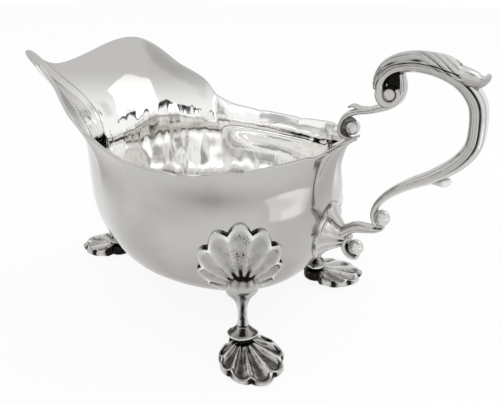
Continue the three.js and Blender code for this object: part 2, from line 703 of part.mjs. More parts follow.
/** Solid of a knee shell lying on the bowl, optionally larger all round. */
function kneeGeometry(leg, extra) {
  const patch = bowlPatch(kneePlace(leg));
  const upward = Math.PI / 2;
  const lobeAngle = KNEE_LOBE_ANGLE * RADIANS;
  const outline = (turn) => {
    const { lobe, onFan } = lobeAt(turn, upward, lobeAngle, KNEE_LOBES);
    return Math.max(KNEE_BASE_RADIUS, onFan ? lobeEdge(lobe, KNEE_EDGE) : 0) + extra;
  };
  const face = (x, y, share, turn) => {
    const { lobe, onFan } = lobeAt(turn, upward, lobeAngle, KNEE_LOBES);
    const ridge = onFan ? KNEE_RIDGE_HEIGHT * ridgeAt(lobe) * share : 0;
    const edge = KNEE_EDGE_HEIGHT * clamp01((share - KNEE_EDGE_FROM) / (1 - KNEE_EDGE_FROM));
    return patch(x * KNEE_SQUEEZE, y, GAP + KNEE_THICKNESS + ridge + edge + extra);
  };
  const back = (x, y) => patch(x * KNEE_SQUEEZE, y, -WALL);
  const turns = shellTurns(KNEE_LOBES, lobeAngle, upward);
  return shell(turns, outline, face, back);
}

/** Scallop plate where a leg meets the bowl. */
function makeKnee(leg, envelope) {
  const plate = toSolid(kneeGeometry(leg, 0)).subtract(envelope);
  return piece(`${leg.name}_knee_shell`, fromSolid(largest(plate)));
}

/** Waisted stem from the collar up to the knee shell. */
function makeStem(leg, envelope) {
  const base = FOOT_HEEL_Z + GAP + COLLAR_HEIGHT + GAP;
  const place = kneePlace(leg);
  const meet = bowlPoint(place.round, place.up).z - base;
  const flare = (share) => mix(STEM_WAIST_RADIUS, STEM_TOP_RADIUS, share);
  const outline = [
    [0, 0], [STEM_FOOT_RADIUS, 0], [flare(0), 0.25 * meet], [flare(0), 0.5 * meet],
    [flare(0.16), 0.72 * meet], [flare(0.45), 0.88 * meet], [flare(1), meet],
    [flare(1), meet + STEM_TOP_MARGIN], [0, meet + STEM_TOP_MARGIN],
  ];
  const stem = new THREE.LatheGeometry(
    outline.map(([radius, up]) => new THREE.Vector2(radius, up)), LATHE_SIDES,
  );
  stem.rotateX(Math.PI / 2);
  const p = stem.attributes.position;
  for (let i = 0; i < p.count; i += 1) {
    p.setX(i, p.getX(i) - (leg.lean * p.getZ(i)) / meet);
  }
  stem.rotateZ(leg.angle);
  stem.translate(leg.x, leg.y, base);
  const trimmed = toSolid(stem).subtract(envelope).subtract(toSolid(kneeGeometry(leg, GAP)));
  return piece(`${leg.name}_leg_stem`, fromSolid(largest(trimmed)));
}

/** Largest body of a solid. */
function largest(solid) {
  return solid.decompose().sort((a, b) => b.volume() - a.volume())[0];
}

// Handle

/** Fluted plate with a dome in its middle, lying on the rear of the bowl. */
function plateGeometry(extra) {
  let up = 0;
  while (bowlPoint(0, up).z < PLATE_Z) up += SEARCH_STEP;
  const patch = bowlPatch({ round: 0, up });
  const lobeAngle = FULL_TURN / PLATE_LOBES;
  const outline = (turn) => {
    const notch = PLATE_LOBE_DEPTH * ridgeAt(turn / lobeAngle);
    return PLATE_RADIUS * (1 - notch) + extra;
  };
  const face = (x, y, share, turn) => {
    const dome = PLATE_DOME * Math.exp(-((share / PLATE_DOME_SPREAD) ** 2) / 2);
    const ridge = PLATE_RIDGE_HEIGHT * ridgeAt(turn / lobeAngle) * share;
    return patch(x * PLATE_SQUEEZE, y, GAP + PLATE_THICKNESS + dome + ridge + extra);
  };
  const back = (x, y) => patch(x * PLATE_SQUEEZE, y, -WALL);
  const steps = PLATE_LOBES * LOBE_STEPS;
  const turns = Array.from({ length: steps }, (_, k) => (k / steps) * FULL_TURN);
  return shell(turns, outline, face, back);
}

/** Main double scroll. */
function scrollGeometry(extra) {
  return sweep(SCROLL_KNOTS, SCROLL_STEPS, { extra, groove: SCROLL_GROOVE });
}

/** Acanthus leaf over the scroll's top, its tip lifting clear. */
function leafGeometry() {
  const chords = chordLengths(SCROLL_KNOTS);
  const rings = [];
  for (let i = 0; i <= LEAF_STEPS; i += 1) {
    const along = i / LEAF_STEPS;
    const place = sweepPlace(SCROLL_KNOTS, chords, mix(LEAF_START, LEAF_END, along));
    const tip = clamp01((along - LEAF_TIP_FROM) / (1 - LEAF_TIP_FROM));
    const lift = LEAF_TIP_LIFT * tip * tip;
    const swell = ease(clamp01((along - LEAF_SWELL_FROM) / (LEAF_TIP_FROM - LEAF_SWELL_FROM)));
    const teeth = 1 - LEAF_LOBE_DEPTH * Math.sin(Math.PI * LEAF_LOBES * along) ** 2;
    const tipTaper = clamp01((along - LEAF_TAPER_FROM) / (1 - LEAF_TAPER_FROM));
    const taper = mix(1, LEAF_TIP_WIDTH, tipTaper)
      * mix(LEAF_ROOT_WIDTH, 1, clamp01(along / LEAF_ROOT_TO));
    const wrap = LEAF_WRAP * RADIANS * teeth * taper;
    const thick = LEAF_THICKNESS + LEAF_SWELL * swell * (1 - tip);
    const pointAt = (k, extra) => {
      const point = sweepPoint(place, mix(-wrap, wrap, k / LEAF_SIDES), extra, 0);
      return point.addScaledVector(place.outward, lift);
    };
    const ring = [];
    for (let k = 0; k <= LEAF_SIDES; k += 1) {
      const vein = 1 - LEAF_VEIN_DEPTH * Math.abs(Math.sin((FULL_TURN * k) / LEAF_SIDES));
      ring.push(pointAt(k, GAP + thick * vein));
    }
    for (let k = LEAF_SIDES; k >= 0; k -= 1) ring.push(pointAt(k, GAP / 2));
    rings.push(ring);
  }
  return loft(rings, ringMiddle(rings[0]), ringMiddle(rings.at(-1)));
}

/** Point between the two faces in the middle of a leaf's ring. */
function ringMiddle(ring) {
  const half = LEAF_SIDES / 2;
  return ring[half].clone().add(ring[2 * LEAF_SIDES + 1 - half]).multiplyScalar(0.5);
}

/** Knots of the spiral coil at the scroll's upper end. */
function coilKnots() {
  const dx = SCROLL_KNOTS[0].x - COIL_X;
  const dz = SCROLL_KNOTS[0].z - COIL_Z;
  const count = 14;
  return Array.from({ length: count + 1 }, (_, i) => {
    const share = i / count;
    const turn = Math.atan2(dz, dx) + share * COIL_TURNS * FULL_TURN;
    const reach = mix(Math.hypot(dx, dz), COIL_END_REACH, share ** COIL_TIGHTENING);
    return {
      x: COIL_X + reach * Math.cos(turn),
      z: COIL_Z + reach * Math.sin(turn),
      thick: mix(COIL_START_THICK, COIL_END_THICK, share),
      wide: mix(SCROLL_KNOTS[0].wide, COIL_HALF_WIDTH, share),
    };
  });
}

/** Short cylinder across the middle plane. */
function disc(x, z, radius, halfWidth, extra) {
  const cylinder = new THREE.CylinderGeometry(
    radius + extra, radius + extra, 2 * (halfWidth + extra), LATHE_SIDES,
  );
  cylinder.translate(x, 0, z);
  return toSolid(cylinder);
}

/** Coil with its eye and the recessed web that fills the curl. */
function coilSolid(extra) {
  return toSolid(sweep(coilKnots(), BRACKET_STEPS, { extra }))
    .add(disc(COIL_X, COIL_Z, COIL_EYE_RADIUS, COIL_EYE_HALF_WIDTH, extra))
    .add(disc(WEB_X, WEB_Z, WEB_RADIUS, WEB_HALF_WIDTH, extra));
}

/** Ball in the middle plane, optionally larger. */
function ball(x, z, radius, extra = 0) {
  const sphere = new THREE.SphereGeometry(radius + extra, BALL_SIDES, BALL_SIDES / 2);
  sphere.translate(x, 0, z);
  return toSolid(sphere);
}

/** Knots of the tail that curls round the lower ball. */
function tailKnots() {
  const count = 10;
  return Array.from({ length: count + 1 }, (_, i) => {
    const share = i / count;
    const turn = mix(BASE_TAIL_FROM, BASE_TAIL_TO, share) * RADIANS;
    const reach = mix(BASE_TAIL_START_REACH, BASE_TAIL_END_REACH, share);
    return {
      x: BASE_BALL_X + reach * Math.cos(turn),
      z: BASE_BALL_Z + reach * Math.sin(turn),
      thick: mix(BASE_TAIL_START_THICK, BASE_TAIL_END_THICK, share),
      wide: BASE_TAIL_HALF_WIDTH,
    };
  });
}

/** Pointed leaf plate on the rim lug. */
function rimLeaf() {
  const heel = RIM_LEAF_TIP_X - RIM_LEAF_LENGTH;
  const lowerZ = (x) => RIM_LEAF_TIP_Z - (RIM_LEAF_TIP_X - x) * RIM_LEAF_SLOPE;
  const rings = [];
  for (let i = 1; i < RIM_LEAF_STEPS; i += 1) {
    const along = i / RIM_LEAF_STEPS;
    const x = mix(heel, RIM_LEAF_TIP_X, along);
    const half = 0.5 * RIM_LEAF_WIDTH * Math.sin(Math.PI * along ** 0.6) ** 0.8;
    const section = [
      [-half, 0], [0, 0], [half, 0],
      [half * RIM_LEAF_SHOULDER, RIM_LEAF_SHOULDER], [0, 1],
      [-half * RIM_LEAF_SHOULDER, RIM_LEAF_SHOULDER],
    ];
    rings.push(section.map(
      ([y, rise]) => new THREE.Vector3(x, y, lowerZ(x) + rise * RIM_LEAF_THICKNESS),
    ));
  }
  const end = (x) => new THREE.Vector3(x, 0, lowerZ(x) + RIM_LEAF_THICKNESS / 2);
  return toSolid(loft(rings, end(heel), end(RIM_LEAF_TIP_X)));
}

/** Scroll with its leaf, coil, lower knob and spur leaf. */
function makeScroll(scrollRoom, baseBracketRoom) {
  const leaf = toSolid(leafGeometry()).subtract(scrollRoom);
  const spur = toSolid(sweep(SPUR_KNOTS, LEAF_SIDES)).subtract(scrollRoom);
  const coil = coilSolid(0).subtract(scrollRoom);
  const knob = ball(LOWER_KNOB_X, LOWER_KNOB_Z, LOWER_KNOB_RADIUS)
    .subtract(scrollRoom).subtract(baseBracketRoom);
  return [
    piece("handle_scroll", scrollGeometry(0)),
    piece("handle_leaf", fromSolid(largest(leaf))),
    piece("handle_top_coil", fromSolid(largest(coil))),
    piece("handle_lower_knob", fromSolid(largest(knob))),
    piece("handle_spur_leaf", fromSolid(largest(spur))),
  ];
}

/** Bracket from the rim lug up to the coil, with its ball and the leaf plate it stands on. */
function makeRimJoint(rimSpace, scrollRoom) {
  const plate = largest(rimLeaf().subtract(rimSpace));
  const bracket = toSolid(sweep(RIM_BRACKET_KNOTS, BRACKET_STEPS))
    .add(toSolid(sweep(RIM_SPUR_KNOTS, LEAF_SIDES)))
    .subtract(coilSolid(GAP))
    .subtract(scrollRoom)
    .subtract(plate.add(plate.translate([0, 0, GAP])))
    .subtract(rimSpace)
    .subtract(ball(RIM_BALL_X, RIM_BALL_Z, RIM_BALL_RADIUS, GAP));
  return [
    piece("rim_bracket", fromSolid(largest(bracket))),
    piece("rim_bracket_ball", fromSolid(ball(RIM_BALL_X, RIM_BALL_Z, RIM_BALL_RADIUS))),
    piece("rim_leaf", fromSolid(plate)),
  ];
}

/** Bracket from the scroll's lower end to the fluted plate, with its tail and ball. */
function makeBaseJoint(envelope, scrollRoom) {
  const bracket = toSolid(sweep(BASE_BRACKET_KNOTS, BRACKET_STEPS))
    .add(toSolid(sweep(tailKnots(), BRACKET_STEPS)))
    .subtract(envelope)
    .subtract(toSolid(plateGeometry(GAP)))
    .subtract(ball(BASE_BALL_X, BASE_BALL_Z, BASE_BALL_RADIUS, GAP))
    .subtract(scrollRoom);
  const plate = toSolid(plateGeometry(0)).subtract(envelope);
  return [
    piece("base_bracket", fromSolid(largest(bracket))),
    piece("base_bracket_ball", fromSolid(ball(BASE_BALL_X, BASE_BALL_Z, BASE_BALL_RADIUS))),
    piece("handle_joint_plate", fromSolid(largest(plate))),
  ];
}

// The whole jug

const envelope = bowlEnvelope(GAP);
const scrollRoom = toSolid(scrollGeometry(GAP));
const baseBracketRoom = toSolid(sweep(BASE_BRACKET_KNOTS, BRACKET_STEPS, { extra: GAP }));
const jug = new THREE.Group();
jug.name = "sauce_jug";
jug.add(piece("bowl", bowlGeometry(0), SILVER));
for (const leg of LEGS) {
  jug.add(makeKnee(leg, envelope), makeStem(leg, envelope), makeCollar(leg), makeFoot(leg));
}
jug.add(
  ...makeScroll(scrollRoom, baseBracketRoom),
  ...makeRimJoint(rimRoomSolid(), scrollRoom),
  ...makeBaseJoint(envelope, scrollRoom),
);

// The origin is brought under the middle of the whole jug.
const middle = new THREE.Box3().setFromObject(jug).getCenter(new THREE.Vector3());
for (const mesh of jug.children) mesh.geometry.translate(-middle.x, -middle.y, 0);

export default jug;
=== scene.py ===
"""Silver sauce jug on three shell feet, with a flying double-scroll handle.

Shapes are worked out in millimetres in the jug's own plan, in which the lip points to -X and the
middle plane is y = 0, and are brought into the frame, in metres, as each mesh is written.
"""
import logging
import math
from dataclasses import dataclass, field
from enum import Enum

import bpy
import numpy as np
from mathutils import Matrix, Vector


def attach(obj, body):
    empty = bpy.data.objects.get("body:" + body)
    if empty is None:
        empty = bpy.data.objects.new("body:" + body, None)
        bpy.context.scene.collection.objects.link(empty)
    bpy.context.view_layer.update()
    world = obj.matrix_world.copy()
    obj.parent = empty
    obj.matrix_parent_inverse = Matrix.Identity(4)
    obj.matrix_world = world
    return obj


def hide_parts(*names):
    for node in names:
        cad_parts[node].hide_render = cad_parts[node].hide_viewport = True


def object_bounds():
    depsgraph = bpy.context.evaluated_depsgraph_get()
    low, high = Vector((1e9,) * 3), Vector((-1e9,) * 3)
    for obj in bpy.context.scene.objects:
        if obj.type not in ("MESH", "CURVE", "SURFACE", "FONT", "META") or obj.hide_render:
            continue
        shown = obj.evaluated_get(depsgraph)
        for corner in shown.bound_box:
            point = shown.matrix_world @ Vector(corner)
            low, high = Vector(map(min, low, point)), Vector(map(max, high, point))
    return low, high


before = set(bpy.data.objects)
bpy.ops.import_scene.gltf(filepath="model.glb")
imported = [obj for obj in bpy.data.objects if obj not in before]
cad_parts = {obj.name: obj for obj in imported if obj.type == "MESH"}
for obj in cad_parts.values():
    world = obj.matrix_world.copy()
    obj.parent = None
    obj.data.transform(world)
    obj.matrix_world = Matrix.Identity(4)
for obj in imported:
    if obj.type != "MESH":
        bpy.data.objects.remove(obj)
CAD_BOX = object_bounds()

MM = 0.001  # metres in a millimetre
BEAK_X = -135.6  # plan station of the lip's beak, the frame's lowest x
PLAN_SHIFT = CAD_BOX[0][0] / MM - BEAK_X
FULL_TURN = 2.0 * math.pi
BODY = "root"

Array = np.ndarray
Triple = tuple[float, float, float]
Tree = bpy.types.NodeTree
Socket = bpy.types.NodeSocket
log = logging.getLogger("sauce_jug")


class Slot(Enum):
    """Material slots of the record."""

    BOWL = "bowl_silver"
    LEG = "leg_silver"
    HANDLE = "handle_silver"


class LegPlace(Enum):
    """The three legs by the start of their nodes' names."""

    SPOUT = "spout"
    LEFT = "left"
    RIGHT = "right"


# Small helpers


def mix(a: float | Array, b: float | Array, share: float | Array) -> float | Array:
    """Value between a and b."""
    return a + (b - a) * share


def clamp01(value: float | Array) -> float | Array:
    """Value held between 0 and 1."""
    return np.clip(value, 0.0, 1.0)


def ease(value: float | Array) -> float | Array:
    """Smooth step of a value, held between 0 and 1."""
    t = clamp01(value)
    return t * t * (3.0 - 2.0 * t)


def step(value: float | Array, start: float, span: float) -> float | Array:
    """Smooth step that leaves 0 at a start and is 1 a span further on, or back if below 0."""
    return ease((value - start) / span)


def onward(value: Array, start: float) -> Array:
    """Share of the way from a start to 1, and 0 before it."""
    return clamp01((value - start) / (1.0 - start))


def bump(value: Array, centre: float, spread: float) -> Array:
    """Bell of height 1 round a centre."""
    return np.exp(-(((value - centre) / spread) ** 2))


def unit(vectors: Array) -> Array:
    """Vectors brought to length 1."""
    return vectors / np.maximum(np.linalg.norm(vectors, axis=-1, keepdims=True), 1e-12)


def stack(*parts: float | Array) -> Array:
    """Points from their x, y and z, which may be arrays or plain numbers."""
    return np.stack(np.broadcast_arrays(*parts), axis=-1).astype(float)


def running_lengths(points: Array) -> Array:
    """Running length along a list of points, from 0."""
    steps = np.linalg.norm(np.diff(points, axis=0), axis=1)
    return np.concatenate(([0.0], np.cumsum(steps)))


class SmoothLine:
    """Smooth line through given knots.

    Args:
        rows: one row of numbers for each knot.
        place: how many of the first columns are the knot's place.
        fair: whether the bend changes smoothly too, as on a surface that mirrors.
    """

    def __init__(self, rows: list | tuple | Array, place: int = 3, fair: bool = False) -> None:
        """Measures the line and finds its slopes."""
        self.rows = np.array(rows, float)
        self.lengths = running_lengths(self.rows[:, :place])
        self.slopes = self.fair_slopes() if fair else self.plain_slopes()

    def plain_slopes(self) -> Array:
        """Slope at each knot from its two neighbours.

        Returns:
            One row for each knot.
        """
        slopes = np.empty_like(self.rows)
        spans = (self.lengths[2:] - self.lengths[:-2])[:, None]
        slopes[1:-1] = (self.rows[2:] - self.rows[:-2]) / spans
        slopes[0] = (self.rows[1] - self.rows[0]) / self.lengths[1]
        slopes[-1] = (self.rows[-1] - self.rows[-2]) / (self.lengths[-1] - self.lengths[-2])
        return slopes

    def fair_slopes(self) -> Array:
        """Slopes that leave no jump in the bend at any knot.

        Returns:
            One row for each knot.
        """
        count = len(self.rows)
        spans = np.diff(self.lengths)
        rates = np.diff(self.rows, axis=0) / spans[:, None]
        left = np.zeros((count, count))
        right = np.zeros_like(self.rows)
        left[0, :2] = left[-1, :-3:-1] = (2.0, 1.0)
        right[0], right[-1] = 3.0 * rates[0], 3.0 * rates[-1]
        for i in range(1, count - 1):
            a, b = 1.0 / spans[i - 1], 1.0 / spans[i]
            left[i, i - 1:i + 2] = (a, 2.0 * (a + b), b)
            right[i] = 3.0 * (a * rates[i - 1] + b * rates[i])
        return np.linalg.solve(left, right)

    def at(self, share: Array) -> Array:
        """Rows on the line at shares of its length.

        Args:
            share: shares of the length, 0 to 1.

        Returns:
            One row for each share.
        """
        along = clamp01(np.asarray(share, float)) * self.lengths[-1]
        i = np.clip(np.searchsorted(self.lengths, along, side="right") - 1, 0, len(self.rows) - 2)
        span = self.lengths[i + 1] - self.lengths[i]
        f = ((along - self.lengths[i]) / span)[..., None]
        span = span[..., None]
        return (
            (2 * f**3 - 3 * f**2 + 1) * self.rows[i]
            + (f**3 - 2 * f**2 + f) * span * self.slopes[i]
            + (3 * f**2 - 2 * f**3) * self.rows[i + 1]
            + (f**3 - f**2) * span * self.slopes[i + 1]
        )


# Meshes


@dataclass
class Surface:
    """Closed faces with marks for the finish, one share for every point."""

    points: Array
    faces: list[tuple[int, ...]]
    marks: dict[str, Array] = field(default_factory=dict)

    def marked(self, name: str, shares: Array | float) -> "Surface":
        """The surface with one more mark."""
        self.marks[name] = np.broadcast_to(np.asarray(shares, float), len(self.points)).copy()
        return self

    def outward(self) -> "Surface":
        """The surface with its faces turned outward.

        Returns:
            The same surface.
        """
        if signed_volume(self.points, self.faces) < 0.0:
            self.faces = [face[::-1] for face in self.faces]
        return self

    def joined(self, other: "Surface") -> "Surface":
        """Both surfaces as one."""
        start = len(self.points)
        return Surface(
            np.vstack((self.points, other.points)),
            self.faces + [tuple(i + start for i in face) for face in other.faces],
            {
                name: np.concatenate((
                    self.marks.get(name, np.zeros(start)),
                    other.marks.get(name, np.zeros(len(other.points))),
                )) for name in {**self.marks, **other.marks}
            },
        )


def tube(rings: Array, **marks: Array | float) -> Surface:
    """Closed surface from rings of points, each end drawn together in a point.

    Args:
        rings: points as ring, place in the ring, and x, y, z.
        marks: shares for the finish, one for each point or one for all.

    Returns:
        The surface, its faces turned outward.
    """
    count, around = rings.shape[:2]
    points = np.vstack((rings.reshape(-1, 3), rings[0].mean(0), rings[-1].mean(0)))
    start, end = count * around, count * around + 1
    here = np.arange(around)
    after = (here + 1) % around
    base = np.arange(count - 1)[:, None] * around
    quads = np.stack((base + here, base + after, base + around + after, base + around + here), -1)
    faces = [tuple(q) for q in quads.reshape(-1, 4).tolist()]
    last = (count - 1) * around
    faces += [(start, b, a) for a, b in zip(here.tolist(), after.tolist())]
    faces += [(end, last + a, last + b) for a, b in zip(here.tolist(), after.tolist())]
    made = Surface(points, faces).outward()
    for name, shares in marks.items():
        spread = np.broadcast_to(np.asarray(shares, float), (count, around))
        made.marked(name, np.concatenate((spread.ravel(), [spread[0].mean(), spread[-1].mean()])))
    return made


def signed_volume(points: Array, faces: list[tuple[int, ...]]) -> float:
    """Volume inside the faces, below 0 where they point inwards.

    Args:
        points: corners of the faces.
        faces: indices of each face's corners.

    Returns:
        The volume.
    """
    fans = [(f[0], f[i], f[i + 1]) for f in faces for i in range(1, len(f) - 1)]
    a, b, c = (points[np.array(fans)[:, i]] for i in range(3))
    return float(np.einsum("ij,ij->", a, np.cross(b, c)))


def to_frame(points: Array) -> Array:
    """Plan millimetres brought into the frame, in metres."""
    return (points + np.array((PLAN_SHIFT, 0.0, 0.0))) * MM


@dataclass
class Piece:
    """One visible piece, which stands for the node of the same name."""

    node: str
    slot: Slot

    def build(self, surface: Surface, material: bpy.types.Material) -> bpy.types.Object:
        """Writes the mesh and ties it to the frame.

        Args:
            surface: the piece's faces, in plan millimetres.
            material: its finish.

        Returns:
            The finished object.
        """
        mesh = bpy.data.meshes.new(self.node)
        mesh.from_pydata(to_frame(surface.points).tolist(), [], surface.faces)
        for name, shares in surface.marks.items():
            layer = mesh.attributes.new(name, "FLOAT", "POINT")
            layer.data.foreach_set("value", clamp01(shares).astype(np.float32))
        mesh.shade_smooth()
        mesh.validate()
        return self.place(mesh, material)

    def place(self, mesh: bpy.types.Mesh, material: bpy.types.Material) -> bpy.types.Object:
        """Makes the object of a finished mesh and ties it to the frame.

        Args:
            mesh: its mesh.
            material: its finish.

        Returns:
            The object.
        """
        mesh.materials.clear()
        mesh.materials.append(material)
        item = bpy.data.objects.new(f"{self.node}_silver", mesh)
        bpy.context.scene.collection.objects.link(item)
        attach(item, BODY)
        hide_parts(self.node)
        log.info("%s: %d faces", item.name, len(mesh.polygons))
        return item


# Node trees


class Formula:
    """Number field in a node tree, worked with the usual signs.

    Args:
        tree: tree that the nodes are added to.
        value: socket or plain number that the formula starts from.
    """

    def __init__(self, tree: Tree, value: Socket | float) -> None:
        """Starts the formula."""
        self.tree = tree
        self.value = value

    def math(self, operation: str, *others: "Formula | float") -> "Formula":
        """Formula of one more Math node.

        Args:
            operation: the node's operation.
            others: its further terms.

        Returns:
            The new formula.
        """
        node = self.tree.nodes.new("ShaderNodeMath")
        node.operation = operation
        for socket, term in zip(node.inputs, (self, *others)):
            value = term.value if isinstance(term, Formula) else term
            if isinstance(value, (int, float)):
                socket.default_value = float(value)
            else:
                self.tree.links.new(value, socket)
        return Formula(self.tree, node.outputs[0])

    def __add__(self, other: "Formula | float") -> "Formula":
        """Sum."""
        return self.math("ADD", other)

    def __sub__(self, other: "Formula | float") -> "Formula":
        """Difference."""
        return self.math("SUBTRACT", other)

    def __rsub__(self, other: float) -> "Formula":
        """Difference from a number."""
        return Formula(self.tree, other).math("SUBTRACT", self)

    def __mul__(self, other: "Formula | float") -> "Formula":
        """Product."""
        return self.math("MULTIPLY", other)

    def __truediv__(self, other: "Formula | float") -> "Formula":
        """Quotient."""
        return self.math("DIVIDE", other)

    def __pow__(self, other: "Formula | float") -> "Formula":
        """Power."""
        return self.math("POWER", other)

    __radd__ = __add__
    __rmul__ = __mul__

    def clamped(self) -> "Formula":
        """Value held between 0 and 1."""
        return self.math("MAXIMUM", 0.0).math("MINIMUM", 1.0)

    def eased(self) -> "Formula":
        """Smooth step."""
        held = self.clamped()
        return held * held * (3.0 - 2.0 * held)

    def step(self, start: float, span: float) -> "Formula":
        """Smooth step that leaves 0 at a start and is 1 a span further on, or back if below 0."""
        return ((self - start) / span).eased()

    def bump(self, centre: float, spread: "Formula | float") -> "Formula":
        """Bell of height 1 round a centre."""
        return (((self - centre) / spread) ** 2.0 * -1.0).math("EXPONENT")


@dataclass
class FlutedShell:
    """Fan of scooped lobes with a rolled edge, lying in a plane and opening towards +X."""

    length: float
    heel: float  # radius of the plain side away from the lobes
    lobes: float
    lobe_angle: float  # degrees
    shortening: float  # how much shorter the lobes are away from the middle one
    fall: float  # power at which they shorten
    notch: float  # how far the outline draws in between two lobes
    middle_height: float
    edge_height: float
    slope_power: float
    scoop: float
    ridge: float
    bead: float
    underside: float
    hollow_dark: float  # patina and painted shade in the lobes and at their roots, painted shadow between their ends
    root_dark: float
    notch_dark: float
    dome: float = 0.0
    dome_spread: float = 1.0
    lift: float = 0.0  # how far the edge of a lobe stands off what it lies on
    worn_and_sheen: float = 1.0  # how bright the ridges and the rolled edge are, from wear and painted highlight
    bead_spread: float = 0.028
    # darkening of the plain heel, and below it a film with painted shade over the face
    heel_dark: float = 0.0
    film_and_shade: float = 0.0
    turns: int = 337
    rings: int = 76
    TREE = "fluted_shell"
    LABELS = {
        "length": "Length", "heel": "Heel Radius", "lobes": "Lobes", "lobe_angle": "Lobe Angle",
        "shortening": "Lobe Shortening", "fall": "Lobe Fall", "notch": "Notch Depth",
        "middle_height": "Middle Height", "edge_height": "Edge Height",
        "slope_power": "Slope Power", "scoop": "Scoop Depth", "ridge": "Ridge Height",
        "bead": "Bead Height", "underside": "Underside Height", "dome": "Dome Height",
        "dome_spread": "Dome Spread", "lift": "Edge Lift", "hollow_dark": "Hollow Shade And Patina",
        "root_dark": "Root Shade And Patina", "notch_dark": "Notch Shadow", "worn_and_sheen": "Worn And Lit Ridges",
        "bead_spread": "Bead Spread", "heel_dark": "Heel Darkening", "film_and_shade": "Film And Shade",
    }
    FACE_END = 0.62  # shares of the section where the face ends and the underside begins
    BACK_START = 0.78
    WELD = 0.002  # millimetres
    FAN_SLACK = 1e-4  # lobes by which a point may lie past the fan's end
    SCOOP_START = (0.1, 0.45)  # this and the next two: start and span of a step along the reach
    SCOOP_END = (0.87, 0.1)
    LIFT_START = (0.6, 0.4)
    HOLLOW_POWER = 2.2  # the higher, the sharper the ridge between two hollows
    CREST_POWER = 5.0
    ROLL_OUT = 0.6  # millimetres by which the rolled edge stands out, at most
    BEAD_AT = 0.965  # shares of the reach at which the bead and the roots' shadow lie
    ROOT_AT = 0.27
    ROOT_SPREAD = 0.09
    ROOT_POWER = 1.4
    DARK_POWER = 1.3
    NOTCH_POWER = 2.0
    BEAD_LOW = 0.15  # brightness of the bead's wear and painted highlight in the middle of a hollow
    BEAD_POWER = 1.5
    # wear and painted highlight on the crowns of the ridges
    RIDGE_BRIGHT = 0.5
    RIDGE_POWER = 8.0

    def make(self) -> Surface:
        """Shell as a plain mesh.

        Returns:
            The surface in millimetres, with marks for patina, painted shade, wear and painted
            highlight.
        """
        mesh = bpy.data.meshes.new("shell_start")
        item = bpy.data.objects.new("shell_start", mesh)
        bpy.context.scene.collection.objects.link(item)
        tree = bpy.data.node_groups.get(self.TREE) or self.tree()
        modifier = item.modifiers.new(self.TREE, "NODES")
        modifier.node_group = tree
        for key, label in self.LABELS.items():
            modifier[tree.interface.items_tree[label].identifier] = float(getattr(self, key))
        modifier[tree.interface.items_tree["Turns"].identifier] = self.turns
        modifier[tree.interface.items_tree["Rings"].identifier] = self.rings
        graph = bpy.context.evaluated_depsgraph_get()
        result = bpy.data.meshes.new_from_object(item.evaluated_get(graph))
        item.modifiers.remove(modifier)
        surface = self.plain(result)
        bpy.data.objects.remove(item)
        for used in (mesh, result):
            bpy.data.meshes.remove(used)
        return surface

    @staticmethod
    def plain(mesh: bpy.types.Mesh) -> Surface:
        """Points, faces and marks of a mesh.

        Args:
            mesh: the mesh.

        Returns:
            The surface.
        """
        points = np.zeros(len(mesh.vertices) * 3)
        mesh.vertices.foreach_get("co", points)
        recess = np.zeros(len(mesh.vertices), np.float32)
        shine = np.zeros_like(recess)
        mesh.attributes["recess"].data.foreach_get("value", recess)
        mesh.attributes["shine"].data.foreach_get("value", shine)
        faces = [tuple(p.vertices) for p in mesh.polygons]
        made = Surface(points.reshape(-1, 3), faces).outward()
        return made.marked("recess", recess).marked("shine", shine)

    @classmethod
    def tree(cls) -> Tree:
        """Geometry Nodes tree of the shell.

        Returns:
            The tree, with a named input for each size.
        """
        tree = bpy.data.node_groups.new(cls.TREE, "GeometryNodeTree")
        make_socket = tree.interface.new_socket
        make_socket("Geometry", in_out="INPUT", socket_type="NodeSocketGeometry")
        for label in cls.LABELS.values():
            make_socket(label, in_out="INPUT", socket_type="NodeSocketFloat")
        for label in ("Turns", "Rings"):
            make_socket(label, in_out="INPUT", socket_type="NodeSocketInt")
        make_socket("Finish", in_out="INPUT", socket_type="NodeSocketMaterial")
        make_socket("Geometry", in_out="OUTPUT", socket_type="NodeSocketGeometry")
        given = tree.nodes.new("NodeGroupInput")
        size = {key: Formula(tree, given.outputs[label]) for key, label in cls.LABELS.items()}
        grid = tree.nodes.new("GeometryNodeMeshGrid")
        tree.links.new(given.outputs["Turns"], grid.inputs["Vertices X"])
        tree.links.new(given.outputs["Rings"], grid.inputs["Vertices Y"])
        place, marks = cls.formulas(tree, size)
        cls.finish_tree(tree, grid, place, marks, given.outputs["Finish"])
        return tree

